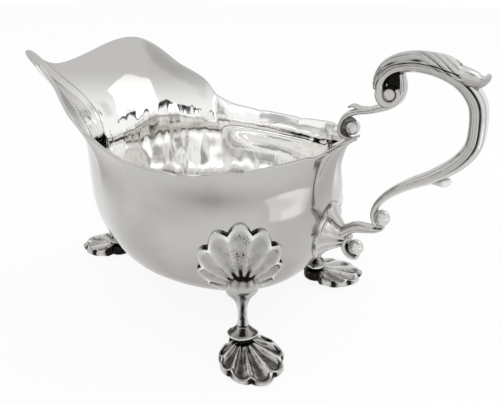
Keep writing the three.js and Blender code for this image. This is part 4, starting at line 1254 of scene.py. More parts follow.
@dataclass
class Leg:
    """Cast leg: shell foot, collar, stem and the knee shell on the bowl."""

    place: LegPlace
    x: float
    y: float
    angle: float  # outward direction in radians
    lean: float
    bowl: Bowl
    foot_length: float = 22.65
    foot_heel: float = 4.8
    foot_top: float = 4.6
    collar_height: float = 6.0
    collar_radius: float = 5.9
    collar_neck: float = 3.7
    collar_turn: float = 1.15
    collar_brim: float = 0.36  # share of the height at which the leafy edge lies
    collar_leaf: float = 0.3  # share by which the edge draws in between its two leaf tips
    collar_leaf_power: float = 1.4
    collar_leaf_spread: float = 0.14
    collar_droop: float = 0.06
    collar_droop_turn: float = 0.8
    collar_droop_spread: float = 0.1
    collar_ridges: tuple = (0.4, 0.2)  # this and the next four: start and span of a step up it
    collar_under: tuple = (0.34, -0.05)
    collar_over: tuple = (0.38, 0.08)
    collar_top: tuple = (0.9, 0.1)
    collar_brightened: tuple = (0.5, 0.2)
    collar_edge: tuple = (0.37, 0.04)  # height and spread of the edge, with wear and painted highlight
    # wear and painted highlight on the ridges, patina and painted shade in the facets, and a film
    # with painted shade above the edge
    collar_ridge_bright: float = 0.5
    collar_facet: float = 0.1
    collar_facet_dark: float = 0.8
    collar_film_and_shade: float = 0.35
    collar_rings: int = 100
    facets: int = 4
    facet_turn: float = 0.36
    facet_power: float = 1.5
    waist: float = 1.95
    stem_foot: float = 2.4
    stem_top: float = 6.0
    stem_crown: float = 0.68  # how far the cushion on top draws in where it meets the bowl
    stem_limit: float = 33.4
    stem_seat: float = 0.7  # how far the stem reaches into the dip of the bowl above it
    stem_plain: tuple = (0.36, 0.22)  # this and the next two: start and span of a step up it
    stem_creased: tuple = (0.8, 0.1)
    stem_joint: tuple = (0.92, 0.06)
    stem_cushion: tuple = (0.8, 0.05)  # height and spread of the cushion's painted highlight
    stem_facet: float = 0.14
    stem_creases: int = 11
    stem_crease: float = 0.06
    # Patina and painted shade on the ridges and in the facets and creases, painted shade where the
    # stem meets the bowl, and a film with painted shade on the plain part
    stem_ridge_dark: float = 0.15
    stem_facet_dark: float = 0.75
    stem_crease_dark: float = 0.45
    stem_joint_dark: float = 0.8
    stem_film_and_shade: float = 0.2
    stem_bright: float = 0.35
    stem_rings: int = 90
    core: float = 0.3  # radius at which a turned piece closes
    gap: float = 0.3
    roll: float = 0.5  # how far a shell's rolled edge stands out
    knee_height: float = 27.5
    knee_rise: float = 1.3
    knee_squeeze: float = 0.81
    knee_thickness: float = 0.9
    knee_pitted: float = 4.5  # half width of the pitted stretch up the knee's middle
    knee_pits_from: tuple = (0.2, 0.2)
    knee_pits_to: float = 0.85
    sides: int = 72

    def turned(self, points: Array) -> Array:
        """Points of the leg's own plan brought to its place.

        Args:
            points: points of the leg's plan.

        Returns:
            The points in the jug's plan.
        """
        c, s = math.cos(self.angle), math.sin(self.angle)
        x = points[..., 0] * c - points[..., 1] * s + self.x
        y = points[..., 0] * s + points[..., 1] * c + self.y
        return stack(x, y, points[..., 2])

    def name(self, part: str) -> str:
        """Node name of a part of this leg."""
        return f"{self.place.value}_{part}"

    def foot(self) -> Surface:
        """Fluted shell foot, flat underneath.

        Returns:
            The surface.
        """
        # hollows and roots: patina and painted shade; notches: painted shadow; heel: darkening;
        # ridges and edge: wear and painted highlight
        shell = FlutedShell(
            length=self.foot_length - self.roll, heel=self.foot_heel, lobes=7.0, lobe_angle=24.5,
            shortening=0.12, fall=1.33, notch=0.085, middle_height=self.foot_top,
            edge_height=1.4, slope_power=0.8, scoop=1.25, ridge=0.45, bead=0.25, underside=0.0,
            hollow_dark=0.66, root_dark=0.7, notch_dark=1.2, lift=0.7, worn_and_sheen=0.9,
            bead_spread=0.05, heel_dark=0.9,
        ).make()
        shell.points = self.turned(shell.points)
        return shell

    def collar(self) -> Surface:
        """Collar between the foot and the stem, its wide edge drawn to two leaf tips.

        Returns:
            The surface.
        """
        base = self.foot_top + self.gap
        neck, brim, core = self.collar_neck, self.collar_radius, self.core
        outline = np.array((  # radius and share of the height, from the bottom up
            (core, 0.0), (neck, 0.0), (neck + 0.3, 0.08), (neck, 0.18), (brim - 0.9, 0.26),
            (brim, 0.32), (brim + 0.05, 0.36), (brim - 0.4, 0.42), (brim - 1.5, 0.53),
            (brim - 2.4, 0.69), (self.stem_foot + 0.1, 0.86), (self.stem_foot, 1.0), (core, 1.0),
        ))
        chords = running_lengths(outline * np.array((1.0, self.collar_height)))
        along = np.linspace(0.0, chords[-1], self.collar_rings)
        profile = np.stack([np.interp(along, chords, outline[:, i]) for i in (0, 1)], axis=1)
        turn = np.arange(self.sides) * FULL_TURN / self.sides
        high = profile[:, 1:2]
        leafy = bump(high, self.collar_brim, self.collar_leaf_spread)
        leafy = leafy * np.abs(np.sin(turn)) ** self.collar_leaf_power * self.collar_leaf
        ridged = 0.5 + 0.5 * np.cos(self.facets * (turn + self.collar_turn + self.facet_turn))
        facet = step(high, *self.collar_ridges) * ridged
        radius = profile[:, :1] * (1.0 - leafy - self.collar_facet * facet)
        droop = bump(high, self.collar_brim, self.collar_droop_spread)
        droop = droop * np.cos(2.0 * turn + self.collar_droop_turn) * self.collar_droop
        height = base + (high + droop) * self.collar_height
        way = turn + self.collar_turn
        rings = stack(radius * np.cos(way), radius * np.sin(way), height)
        rings[..., 2] = np.clip(rings[..., 2], base, base + self.collar_height)
        # wear and painted highlight on the edge and on the ridges between the facets
        brightened = self.collar_ridge_bright * step(high, *self.collar_brightened) * (1.0 - ridged) ** 3
        worn_and_sheen = bump(high, *self.collar_edge) + brightened
        return tube(self.turned(rings), recess=self.collar_dark(high, facet), shine=worn_and_sheen)

    def collar_dark(self, high: Array, facet: Array) -> Array:
        """Painted shade below the collar's edge; patina and painted shade in its facets and thinly
        above it.

        Args:
            high: share of the collar's height.
            facet: depth of its facets.

        Returns:
            The tarnish.
        """
        below = step(high, *self.collar_under)
        faceted = self.collar_facet_dark * facet**self.facet_power
        above = self.collar_film_and_shade * step(high, *self.collar_over)
        return below + faceted * (1.0 - step(high, *self.collar_top)) + above

    def knee_place(self) -> tuple[float, float]:
        """Turn and up of the bowl's point above the leg."""
        return self.bowl.place_under(
            self.x - self.lean * math.cos(self.angle), self.y - self.lean * math.sin(self.angle),
        )

    def knee(self) -> Surface:
        """Scallop shell that spreads up the bowl from the stem.

        Returns:
            The surface.
        """
        # roots: patina and painted shade; notches: painted shadow; face: film with painted shade;
        # bead and ridges: wear and painted highlight
        shell = FlutedShell(
            length=self.knee_height - self.roll, heel=5.5, lobes=9.0, lobe_angle=21.0,
            shortening=0.055, fall=1.6, notch=0.115, middle_height=self.gap + self.knee_rise,
            edge_height=self.gap + self.knee_thickness, slope_power=0.7, scoop=0.34, ridge=0.1,
            bead=0.45, underside=-0.6, hollow_dark=0.12, root_dark=1.5, notch_dark=1.9,
            worn_and_sheen=0.6, bead_spread=0.055, film_and_shade=0.15,
        ).make()
        patch = BowlPatch(self.bowl, *self.knee_place())
        x, y, height = shell.points.T
        reach = np.hypot(x, y) / self.knee_height
        pitted = bump(y, 0.0, self.knee_pitted) * step(reach, *self.knee_pits_from)
        shell.marked("pitting", pitted * (reach < self.knee_pits_to))
        shell.points = patch.lay(-y * self.knee_squeeze, x, height)
        return shell.outward()

    def stem(self) -> Surface:
        """Waisted stem that flares like a trumpet against the bowl.

        Returns:
            The surface.
        """
        base = self.foot_top + self.gap + self.collar_height + self.gap
        turn = np.arange(self.sides) * FULL_TURN / self.sides
        reach = self.stem_top * self.stem_crown
        top = self.turned(stack(reach * np.cos(turn) - self.lean, reach * np.sin(turn), 0.0))
        meet = self.bowl.height_under(top[:, 0], top[:, 1]) + self.stem_seat
        meet = np.minimum(meet, self.stem_limit)
        flare = self.stem_top - self.waist
        profile = SmoothLine((  # radius and share of the height, from the collar up
            (self.stem_foot, 0.0), (self.waist + 0.1, 0.12), (self.waist, 0.28),
            (self.waist + 0.03 * flare, 0.4), (self.waist + 0.1 * flare, 0.5),
            (self.waist + 0.3 * flare, 0.59), (self.waist + 0.72 * flare, 0.67),
            (self.waist + 0.96 * flare, 0.75), (self.stem_top, 0.84),
            (self.waist + 0.88 * flare, 0.93), (self.stem_top * self.stem_crown, 1.0),
        ), place=2).at(np.linspace(0.0, 1.0, self.stem_rings))
        share = profile[:, 1:2]
        facet = 0.5 + 0.5 * np.cos(self.facets * (turn + self.facet_turn))
        plain = step(share, *self.stem_plain)
        keel = 1.0 - self.stem_facet * facet * (1.0 - plain)
        creased = 0.5 + 0.5 * np.cos(self.stem_creases * turn)
        creased = step(share, *self.stem_creased) * creased**2
        radius = profile[:, :1] * keel * (1.0 - self.stem_crease * creased)
        x = radius * np.cos(turn) - self.lean * share
        y = radius * np.sin(turn)
        rings = self.turned(stack(x, y, 0.0 * x))
        rings[..., 2] = base + share * (meet - base)
        # patina and painted shade on the facets and creases, painted shade at the bowl, and a film
        # with painted shade above
        dark = self.stem_ridge_dark + self.stem_facet_dark * facet**self.facet_power
        dark = dark * (1.0 - plain) + self.stem_crease_dark * creased
        dark = dark + self.stem_joint_dark * step(share, *self.stem_joint) + self.stem_film_and_shade * plain
        # painted highlight along the cushion, and wear and painted highlight on the facets' ridges
        bright = self.stem_bright * bump(share, *self.stem_cushion)
        worn_and_sheen = (1.0 - facet) ** 3 * (1.0 - plain) + bright
        return tube(rings, recess=dark, shine=worn_and_sheen)

    def build(self, material: bpy.types.Material) -> None:
        """Builds and dresses the leg's four pieces."""
        for part, make in (
            ("foot_shell", self.foot), ("leg_collar", self.collar),
            ("leg_stem", self.stem), ("knee_shell", self.knee),
        ):
            Piece(self.name(part), Slot.LEG).build(make(), material)


# Handle


@dataclass(frozen=True)
class Section:
    """Outline of a swept bar across its path."""

    side_groove: float = 0.0  # depth of the two lengthwise side grooves, share of the size
    side_turn: float = 1.45  # turn at which they lie, 0 being outward
    side_width: float = 0.15
    side_dark: float = 4.5  # patina and painted shade in the grooves for each share of depth
    side_sharpness: float = 1.5
    groove_from: float = 1.0  # share of the path from which the grooves grow shallow
    groove_span: float = 0.2
    groove_end: float = 1.0
    plain_ends: float = 0.12  # share of the path over which each end runs out plain
    lines: tuple = ()  # turns of fine chased lines
    line_depth: float = 0.035
    line_width: float = 0.045
    line_dark: float = 0.5
    worn_and_sheen: float = 0.0  # brightness on the outer side, from wear and painted highlight
    worn_and_sheen_span: float = 0.3
    back_groove: float = 0.0  # depth of the channel along the outer side
    back_width: float = 0.5
    squareness: float = 2.4

    def reach(self, turn: Array, share: Array) -> tuple[Array, Array, Array]:
        """Reach of the outline and its marks.

        Args:
            turn: turn round the bar.
            share: share of the path.

        Returns:
            Reach as a share of the half sizes, patina with painted shade, and wear with painted
            highlight.
        """
        c, s = np.abs(np.cos(turn)), np.abs(np.sin(turn))
        plain = (c**self.squareness + s**self.squareness) ** (-1.0 / self.squareness)
        wrapped = np.abs(np.arctan2(np.sin(turn), np.cos(turn)))
        side = bump(wrapped, self.side_turn, self.side_width)
        back = bump(wrapped, 0.0, self.back_width)
        ends = ease(share / self.plain_ends) * ease((1.0 - share) / self.plain_ends)
        fine = sum((bump(wrapped, at, self.line_width) for at in self.lines), 0.0 * wrapped)
        side = side * mix(1.0, self.groove_end, step(share, self.groove_from, self.groove_span))
        cut = self.side_groove * side + self.back_groove * back + self.line_depth * fine
        # patina and painted shade in the grooves and the fine lines
        dark = self.side_dark * self.side_groove * side**self.side_sharpness
        dark = dark + self.line_dark * fine
        dark = clamp01(dark * ends)
        # wear and painted highlight on the outer side
        worn_and_sheen = self.worn_and_sheen * step(wrapped, self.side_turn, -self.worn_and_sheen_span) * (1.0 - dark)
        return plain * (1.0 - cut * ends), dark, worn_and_sheen


@dataclass
class Bar:
    """Bar swept along knots of the middle plane, each x, z, half thickness and half width."""

    knots: tuple | Array
    steps: int = 120
    sides: int = 48
    section: Section = field(default_factory=Section)
    cap: float = 0.5  # how far the rounded ends stand out, share of the half thickness
    STEP = 0.004  # share of the path over which its direction is taken
    CAP_RINGS = 5

    def __post_init__(self) -> None:
        """Lays a smooth line through the knots."""
        self.line = SmoothLine(self.knots, place=2)

    def frame_at(self, share: Array) -> tuple[Array, Array, Array, Array]:
        """Middle, outward and forward direction, and half sizes at shares of the path.

        Args:
            share: the shares.

        Returns:
            The four, in that order.
        """
        here = self.line.at(share)
        ahead, behind = self.line.at(share + self.STEP), self.line.at(share - self.STEP)
        ahead = unit(ahead[..., :2] - behind[..., :2])
        along = stack(ahead[..., 0], 0.0, ahead[..., 1])
        out = stack(-ahead[..., 1], 0.0, ahead[..., 0])
        return stack(here[..., 0], 0.0, here[..., 1]), out, along, here[..., 2:4]

    def surface(self) -> Surface:
        """Bar with rounded ends.

        Returns:
            The surface.
        """
        inner = np.linspace(0.0, 1.0, self.steps + 1)
        middle, out, along, half = self.frame_at(inner)
        turn = np.arange(self.sides) * FULL_TURN / self.sides
        reach, recess, worn_and_sheen = self.section.reach(turn[None, :], inner[:, None])
        rings = (
            middle[:, None] + out[:, None] * (half[:, :1] * reach * np.cos(turn))[..., None]
            + np.array((0.0, 1.0, 0.0)) * (half[:, 1:] * reach * np.sin(turn))[..., None]
        )
        first = self.end_cap(rings[0], middle[0], -along[0] * half[0, 0] * self.cap)[::-1]
        last = self.end_cap(rings[-1], middle[-1], along[-1] * half[-1, 0] * self.cap)
        rings = np.concatenate((first, rings, last))
        ends = ((len(first), len(last)), (0, 0))
        return tube(rings, recess=np.pad(recess, ends), shine=np.pad(worn_and_sheen, ends, "edge"))

    @classmethod
    def end_cap(cls, ring: Array, middle: Array, away: Array) -> Array:
        """Rings that round off an end."""
        turns = np.linspace(0.0, math.pi / 2.0, cls.CAP_RINGS + 2)[1:-1]
        return np.array([
            middle + (ring - middle) * math.cos(a) + away * math.sin(a) for a in turns
        ])


@dataclass
class Ball:
    """Cast pellet in the middle plane, slightly flattened, painted bright away from its painted
    shade.
    """

    x: float
    z: float
    radius: float
    shaded: float  # turn of the side that lies against its neighbour
    flatness: float = 0.98
    shade: tuple = (0.6, 0.4)  # start and span of the painted shade, 1 being straight at the neighbour
    # start and span of the painted highlight away from the neighbour, and how bright it is
    brightened: tuple = (0.2, -0.6)
    worn_and_sheen: float = 0.3
    steps: int = 40

    def surface(self) -> Surface:
        """Pellet from rings round the line across the jug.

        Returns:
            The surface.
        """
        up = np.linspace(0.0, math.pi, self.steps + 1)[1:-1][:, None]
        turn = np.arange(self.steps * 2) * math.pi / self.steps
        reach = self.radius * np.sin(up)
        rings = stack(
            self.x + reach * np.cos(turn), self.radius * self.flatness * np.cos(up) + 0.0 * turn,
            self.z + reach * np.sin(turn),
        )
        # painted shade towards the neighbour, painted highlight away from it
        facing = np.sin(up) * np.cos(turn - self.shaded)
        worn_and_sheen = self.worn_and_sheen * step(facing, *self.brightened)
        return tube(rings, recess=step(facing, *self.shade), shine=worn_and_sheen)


@dataclass
class Disc:
    """Crowned disc across the middle plane."""

    x: float
    z: float
    radius: float
    half_width: float
    # how dark the disc is painted: painted shade for a web that lies in shadow
    dark: float
    sides: int = 48
    rings: int = 40
    # Half profile as shares of the radius and of the half width
    PROFILE = (
        (0.05, -1.0), (0.5, -0.98), (0.82, -0.86), (1.0, -0.6), (1.0, 0.0), (1.0, 0.6),
        (0.82, 0.86), (0.5, 0.98), (0.05, 1.0),
    )

    def surface(self) -> Surface:
        """Disc turned from its profile.

        Returns:
            The surface.
        """
        turn = np.arange(self.sides) * FULL_TURN / self.sides
        profile = SmoothLine(self.PROFILE, place=2).at(np.linspace(0.0, 1.0, self.rings))
        reach = self.radius * profile[:, :1]
        across = self.half_width * profile[:, 1:] + 0.0 * turn
        rings = stack(self.x + reach * np.cos(turn), across, self.z + reach * np.sin(turn))
        return tube(rings, recess=self.dark)


@dataclass
class AcanthusLeaf:
    """Leaf over the scroll's top, with chased strips, a border and a fat hooked end.

    Places along it are shares of its length, and places off its spine shares of its half width.
    """

    scroll: Bar
    rows: int = 260
    columns: int = 101
    start: float = 0.012  # share of the scroll's path
    end: float = 0.335
    slant: float = 0.07  # how much sooner it ends at its spine
    wrap: float = 95.0  # degrees round the scroll to each side
    teeth: float = 0.025
    lobes: float = 5.0
    root_width: float = 0.6
    root_blend: float = 0.15
    taper_from: float = 0.6
    tip_width: float = 0.85
    blunt_from: float = 0.9
    blunt_power: float = 2.4
    gap: float = 0.3
    body: float = 1.3  # thickness
    root_thickness: float = 0.2  # this and the next as shares of the thickness
    edge_thickness: float = 0.05
    root_span: float = 0.2
    edge_power: float = 8.0  # the higher, the steeper the leaf's rim
    tip_from: float = 0.86
    tip_thin: float = 0.45
    swell: float = 0.6
    swell_from: float = 0.58
    lift: float = 0.3
    lift_power: float = 1.7
    strips: float = 8.0
    sweep: float = 2.9  # strips crossed from the spine out to the border
    sweep_power: float = 1.3
    strips_from: float = 0.4
    strips_slant: float = 0.24  # how much later they begin at the border
    strips_span: float = 0.14
    strip_depth: float = 0.42
    strip_cut: float = 0.13  # share of a strip over which its dark cut fades
    # The darkness of the strips' cuts, the lenses, the border lines and the vein is patina and
    # painted shade, and the film is a film with painted shade
    strip_film_and_shade: float = 0.3
    spine_width: float = 0.2
    spine_rise: float = 0.1
    lenses: tuple = (0.14, 0.28, 0.52)  # places along it of the lens-shaped cuts
    lens_off: float = 0.66
    lens_slant: float = 0.07
    lens_long: float = 0.055
    lens_wide: float = 0.05
    lens_depth: float = 0.4
    lens_dark: float = 0.95
    border_lines: tuple = ((0.8, 0.025, 1.0), (0.9, 0.02, 0.5))  # off, spread and strength
    border_depth: float = 0.3
    border_dark: float = 0.8
    vein_off: tuple = (0.36, 0.04)  # this and the next: centre and spread
    vein_along: tuple = (0.26, 0.2)
    vein_depth: float = 0.2
    vein_dark: float = 0.6
    film_and_shade: float = 0.22
    film_and_shade_along: tuple = (0.45, 0.3)
    # painted shade on the leaf's back against the scroll, then wear and painted highlight on its
    # face
    back_dark: float = 0.8
    worn_and_sheen: float = 0.45
    worn_and_sheen_step: tuple = (0.3, 0.5)
    # Fat end, which curls up to a hook
    drop_knots: tuple = (
        (61.8, 106.3, 0.5, 1.8), (65.4, 105.0, 1.4, 3.4), (69.2, 103.3, 2.3, 4.5),
        (72.3, 102.0, 2.5, 4.5), (74.6, 101.6, 1.9, 3.5), (76.1, 102.3, 1.2, 2.2),
        (76.8, 103.6, 0.7, 1.2),
    )
    # painted shade towards the fat end's underside
    drop_shade: float = 0.34
    drop_shade_step: tuple = (104.5, -4.0)

    def surface(self) -> Surface:
        """Leaf with its chased face, its back and its fat end.

        Returns:
            The surface.
        """
        along = np.linspace(0.0, 1.0, self.rows)[:, None]
        across = np.linspace(-1.0, 1.0, self.columns)[None, :]
        relief, recess = self.chasing(along, np.abs(across))
        thick = self.thickness(along, np.abs(across), relief)
        face = self.laid(along, across, self.gap + thick)
        back = self.laid(along, across, self.gap / 2.0)[:, ::-1]
        shade = np.concatenate((recess, np.full_like(recess, self.back_dark)), axis=1)
        # painted shade on the back, and wear and painted highlight towards the end
        worn_and_sheen = self.worn_and_sheen * (1.0 - shade) * step(along, *self.worn_and_sheen_step)
        made = tube(np.concatenate((face, back), axis=1), recess=shade, shine=worn_and_sheen)
        return made.joined(self.drop())

    def rounded(self, along: Array) -> Array:
        """Share of the width that is left towards the blunt end."""
        blunt = onward(along, self.blunt_from) ** self.blunt_power
        return np.sqrt(np.maximum(1.0 - blunt, 0.0))

    def turned(self, along: Array, across: Array) -> Array:
        """Turn round the scroll, within the leaf's toothed outline.

        Args:
            along: share of the leaf's length.
            across: -1 and 1 at its borders.

        Returns:
            The turn in radians.
        """
        width = mix(1.0, self.tip_width, onward(along, self.taper_from)) * self.rounded(along)
        width = width * mix(self.root_width, 1.0, clamp01(along / self.root_blend))
        teeth = 1.0 - self.teeth * np.sin(math.pi * self.lobes * along) ** 2
        return np.radians(self.wrap) * teeth * width * across

    def thickness(self, along: Array, off: Array, relief: Array) -> Array:
        """Thickness, thin at the root and the rim and swollen before the end.

        Args:
            along: share of the leaf's length.
            off: distance from its spine, 1 at the border.
            relief: height of the chasing, 1 being plain.

        Returns:
            The thickness.
        """
        swell = step(along, self.swell_from, self.tip_from - self.swell_from)
        thin = 1.0 - self.tip_thin * onward(along, self.tip_from)
        thick = self.body + self.swell * swell * thin
        thick = thick * relief * mix(self.edge_thickness, 1.0, self.rounded(along))
        thick = thick * mix(self.root_thickness, 1.0, clamp01(along / self.root_span))
        return thick * np.sqrt(np.maximum(1.0 - off**self.edge_power, 0.0))

    def laid(self, along: Array, across: Array, height: Array | float) -> Array:
        """Points at heights over the scroll.

        Args:
            along: share of the leaf's length.
            across: -1 and 1 at its borders.
            height: the heights.

        Returns:
            The points.
        """
        end = self.end - self.slant * (1.0 - np.abs(across)) * along**2
        middle, out, _, half = self.scroll.frame_at(mix(self.start, end, along))
        turn = self.turned(along, across)
        lift = self.lift * onward(along, self.tip_from) ** self.lift_power
        rise = (half[..., 0] + height) * np.cos(turn) + lift
        spread = (half[..., 1] + height) * np.sin(turn)
        return middle + out * rise[..., None] + stack(0.0, 1.0, 0.0) * spread[..., None]

    def chasing(self, along: Array, off: Array) -> tuple[Array, Array]:
        """Chased strips, lens-shaped cuts, border lines and vein.

        Args:
            along: share of the leaf's length.
            off: distance from its spine, 1 at the border.

        Returns:
            Height as a share of the leaf's thickness, and the patina and painted shade of its
            cuts.
        """
        strips = ease((along - self.strips_from - self.strips_slant * off) / self.strips_span)
        saw = np.mod(along * self.strips - self.sweep * off**self.sweep_power, 1.0)
        spine = bump(off, 0.0, self.spine_width)
        flank = 1.0 - spine
        slanted = along - self.lens_slant * (off - self.lens_off)
        lenses = sum(bump(slanted, at, self.lens_long) for at in self.lenses)
        lenses = lenses * bump(off, self.lens_off, self.lens_wide) * (1.0 - strips)
        border = sum(much * bump(off, at, spread) for at, spread, much in self.border_lines)
        vein = bump(off, *self.vein_off) * bump(along, *self.vein_along)
        height = (
            1.0 - self.strip_depth * strips * flank * (1.0 - saw**0.5) + self.spine_rise * spine
            - self.lens_depth * lenses - self.border_depth * border - self.vein_depth * vein
        )
        dark = (
            strips * flank * np.exp(-saw / self.strip_cut) + self.lens_dark * lenses
            + self.border_dark * border + self.vein_dark * vein
        )
        film_and_shade = self.film_and_shade * bump(along, *self.film_and_shade_along)
        film_and_shade = film_and_shade + self.strip_film_and_shade * strips * flank * (1.0 - saw)
        return height, clamp01(dark + film_and_shade)

    def drop(self) -> Surface:
        """Fat hooked end of the leaf, with painted shade towards its underside.

        Returns:
            The surface.
        """
        section = Section(worn_and_sheen=0.3, squareness=2.1)
        made = Bar(self.drop_knots, steps=60, sides=48, section=section).surface()
        low = step(made.points[:, 2], *self.drop_shade_step)
        return made.marked("recess", clamp01(made.marks["recess"] + self.drop_shade * low))


@dataclass
class Handle:
    """Flying double scroll with its leaf, coil, knob and spur."""

    knots: tuple = (
        (45.3, 95.6, 1.6, 3.0), (45.1, 98.4, 1.8, 3.2), (46.2, 101.0, 1.9, 3.4),
        (48.8, 103.4, 2.1, 3.6), (53.2, 104.8, 2.3, 3.8), (58.8, 104.9, 2.4, 3.9),
        (65.2, 103.2, 2.3, 3.9), (70.8, 100.2, 2.5, 3.9), (75.0, 95.1, 2.8, 3.8),
        (76.2, 88.2, 2.8, 3.7), (75.7, 81.8, 2.8, 3.6), (72.2, 76.2, 2.6, 3.4),
        (65.7, 70.8, 2.3, 3.2), (57.9, 66.1, 1.9, 3.0), (52.2, 61.8, 1.6, 2.9),
        (48.4, 57.2, 1.3, 2.8), (47.1, 53.2, 1.0, 2.7), (47.8, 50.0, 0.8, 2.5),
    )
    spur_knots: tuple = (
        (63.6, 68.5, 0.5, 1.6), (66.6, 68.7, 0.9, 1.8), (69.1, 69.0, 1.5, 1.8),
        (70.7, 69.8, 1.0, 1.3),
    )
    # painted highlight on the spur's round tip, and where it starts along x
    spur_bright: float = 0.7
    spur_bright_step: tuple = (67.6, 2.0)
    coil_x: float = 48.8
    coil_z: float = 95.3
    coil_turns: float = 0.62
    coil_knots: int = 20
    coil_end_reach: float = 2.9
    coil_half: tuple = (1.6, 0.8)  # half thickness at its start and its end
    coil_end_width: float = 2.9
    # Eye, web and the web above it, as x and z from the coil's middle, radius, half width, dark;
    # the two webs are painted dark as shadow
    coil_discs: tuple = (
        (0.0, 0.0, 2.1, 3.1, 0.0), (0.0, 0.0, 2.9, 1.8, 1.0), (0.8, 4.1, 2.7, 0.9, 1.0),
    )
    knob_x: float = 50.0
    knob_z: float = 51.8
    knob_radius: float = 3.0

    def __post_init__(self) -> None:
        """Makes the scroll's bar."""
        section = Section(
            side_groove=0.26, side_turn=1.25, side_width=0.1, groove_from=0.52,
            groove_end=0.12, back_groove=0.14, lines=(0.72, 1.62, 1.9), worn_and_sheen=0.42,
        )
        self.scroll = Bar(self.knots, steps=300, sides=72, section=section)

    def coil(self) -> Surface:
        """Volute at the scroll's upper end, with its eye and its sunken web painted dark as
        shadow.

        Returns:
            The surface.
        """
        start_x, start_z, _, start_width = self.knots[0]
        dx, dz = start_x - self.coil_x, start_z - self.coil_z
        share = np.linspace(0.0, 1.0, self.coil_knots)
        turn = math.atan2(dz, dx) + share * self.coil_turns * FULL_TURN
        reach = mix(math.hypot(dx, dz), self.coil_end_reach, share)
        spiral = np.stack((
            self.coil_x + reach * np.cos(turn), self.coil_z + reach * np.sin(turn),
            mix(*self.coil_half, share), mix(start_width, self.coil_end_width, share),
        ), axis=1)
        made = Bar(spiral, steps=90, sides=40, section=Section(squareness=3.6)).surface()
        for x, z, radius, half_width, dark in self.coil_discs:
            disc = Disc(self.coil_x + x, self.coil_z + z, radius, half_width, dark)
            made = made.joined(disc.surface())
        return made

    def build(self, material: bpy.types.Material) -> None:
        """Builds and dresses the handle's own pieces.

        Args:
            material: finish of the handle.
        """
        knob = Ball(self.knob_x, self.knob_z, self.knob_radius, shaded=math.pi).surface()
        spur = Bar(self.spur_knots, steps=40, sides=32).surface()
        # painted highlight on the tip
        tip = step(spur.points[:, 0], *self.spur_bright_step)
        spur.marked("shine", self.spur_bright * tip)
        for node, surface in (
            ("handle_scroll", self.scroll.surface()),
            ("handle_leaf", AcanthusLeaf(self.scroll).surface()),
            ("handle_top_coil", self.coil()), ("handle_lower_knob", knob),
            ("handle_spur_leaf", spur),
        ):
            Piece(node, Slot.HANDLE).build(surface, material)


@dataclass
class RimJoint:
    """Bracket, pellet and leaf between the rim lug and the handle's coil."""

    knots: tuple = (
        (36.8, 78.9, 0.4, 1.2), (34.9, 78.9, 0.7, 2.0), (32.9, 79.9, 0.9, 2.4),
        (32.3, 82.2, 0.8, 2.3), (33.2, 85.0, 0.9, 2.2), (35.2, 87.1, 1.1, 2.2),
        (38.2, 88.3, 1.1, 2.2), (42.2, 89.2, 1.2, 2.3), (46.1, 90.6, 1.4, 2.6),
        (49.4, 92.0, 1.3, 2.8), (51.7, 94.1, 1.2, 2.8), (52.5, 97.1, 1.1, 2.6),
        (52.2, 99.7, 0.9, 2.3), (51.6, 101.8, 0.8, 2.0),
    )
    spur_knots: tuple = (
        (41.6, 89.6, 0.7, 1.7), (38.6, 89.5, 0.7, 1.7), (36.3, 90.1, 0.6, 1.5),
        (34.8, 89.4, 0.4, 1.0),
    )
    ball_x: float = 36.7
    ball_z: float = 82.6
    ball_radius: float = 2.6
    ball_shaded: float = 2.4
    web_x: float = 35.3
    web_z: float = 82.9
    web_radius: float = 3.2
    web_half_width: float = 0.9
    # painted shade of the web behind the pellet
    web_dark: float = 0.7
    leaf_tip_x: float = 39.6
    leaf_tip_z: float = 79.6
    leaf_length: float = 9.5
    leaf_width: float = 8.0
    leaf_slope: float = 0.5
    leaf_thickness: float = 1.0
    leaf_vein: float = 0.25
    leaf_vein_width: float = 0.2
    leaf_lean: float = 0.6  # below 1, the leaf is widest nearer its root
    leaf_fullness: float = 0.8
    leaf_rings: int = 58
    sides: int = 48

    def leaf(self) -> Surface:
        """Pointed leaf plate that lies on the lug.

        Returns:
            The surface.
        """
        along = np.linspace(0.0, 1.0, self.leaf_rings + 2)[1:-1][:, None]
        turn = np.arange(self.sides) * FULL_TURN / self.sides
        bow = np.sin(math.pi * along**self.leaf_lean)
        half = 0.5 * self.leaf_width * bow**self.leaf_fullness
        x = mix(self.leaf_tip_x - self.leaf_length, self.leaf_tip_x, along)
        low = self.leaf_tip_z - (self.leaf_tip_x - x) * self.leaf_slope
        vein = self.leaf_vein * bump(np.cos(turn), 0.0, self.leaf_vein_width)
        rise = (0.5 + 0.5 * np.sin(turn)) * (1.0 - vein) * self.leaf_thickness
        return tube(stack(x + 0.0 * turn, half * np.cos(turn), low + rise))

    def build(self, material: bpy.types.Material) -> None:
        """Builds and dresses the joint.

        Args:
            material: finish of the handle.
        """
        section = Section(side_groove=0.14)
        bracket = Bar(self.knots, steps=140, sides=self.sides, section=section).surface()
        spur = Bar(self.spur_knots, steps=40, sides=32).surface()
        web = Disc(
            self.web_x, self.web_z, self.web_radius, self.web_half_width, self.web_dark,
        ).surface()
        ball = Ball(self.ball_x, self.ball_z, self.ball_radius, self.ball_shaded).surface()
        for node, surface in (
            ("rim_bracket", bracket.joined(spur).joined(web)), ("rim_leaf", self.leaf()),
            ("rim_bracket_ball", ball),
        ):
            Piece(node, Slot.HANDLE).build(surface, material)


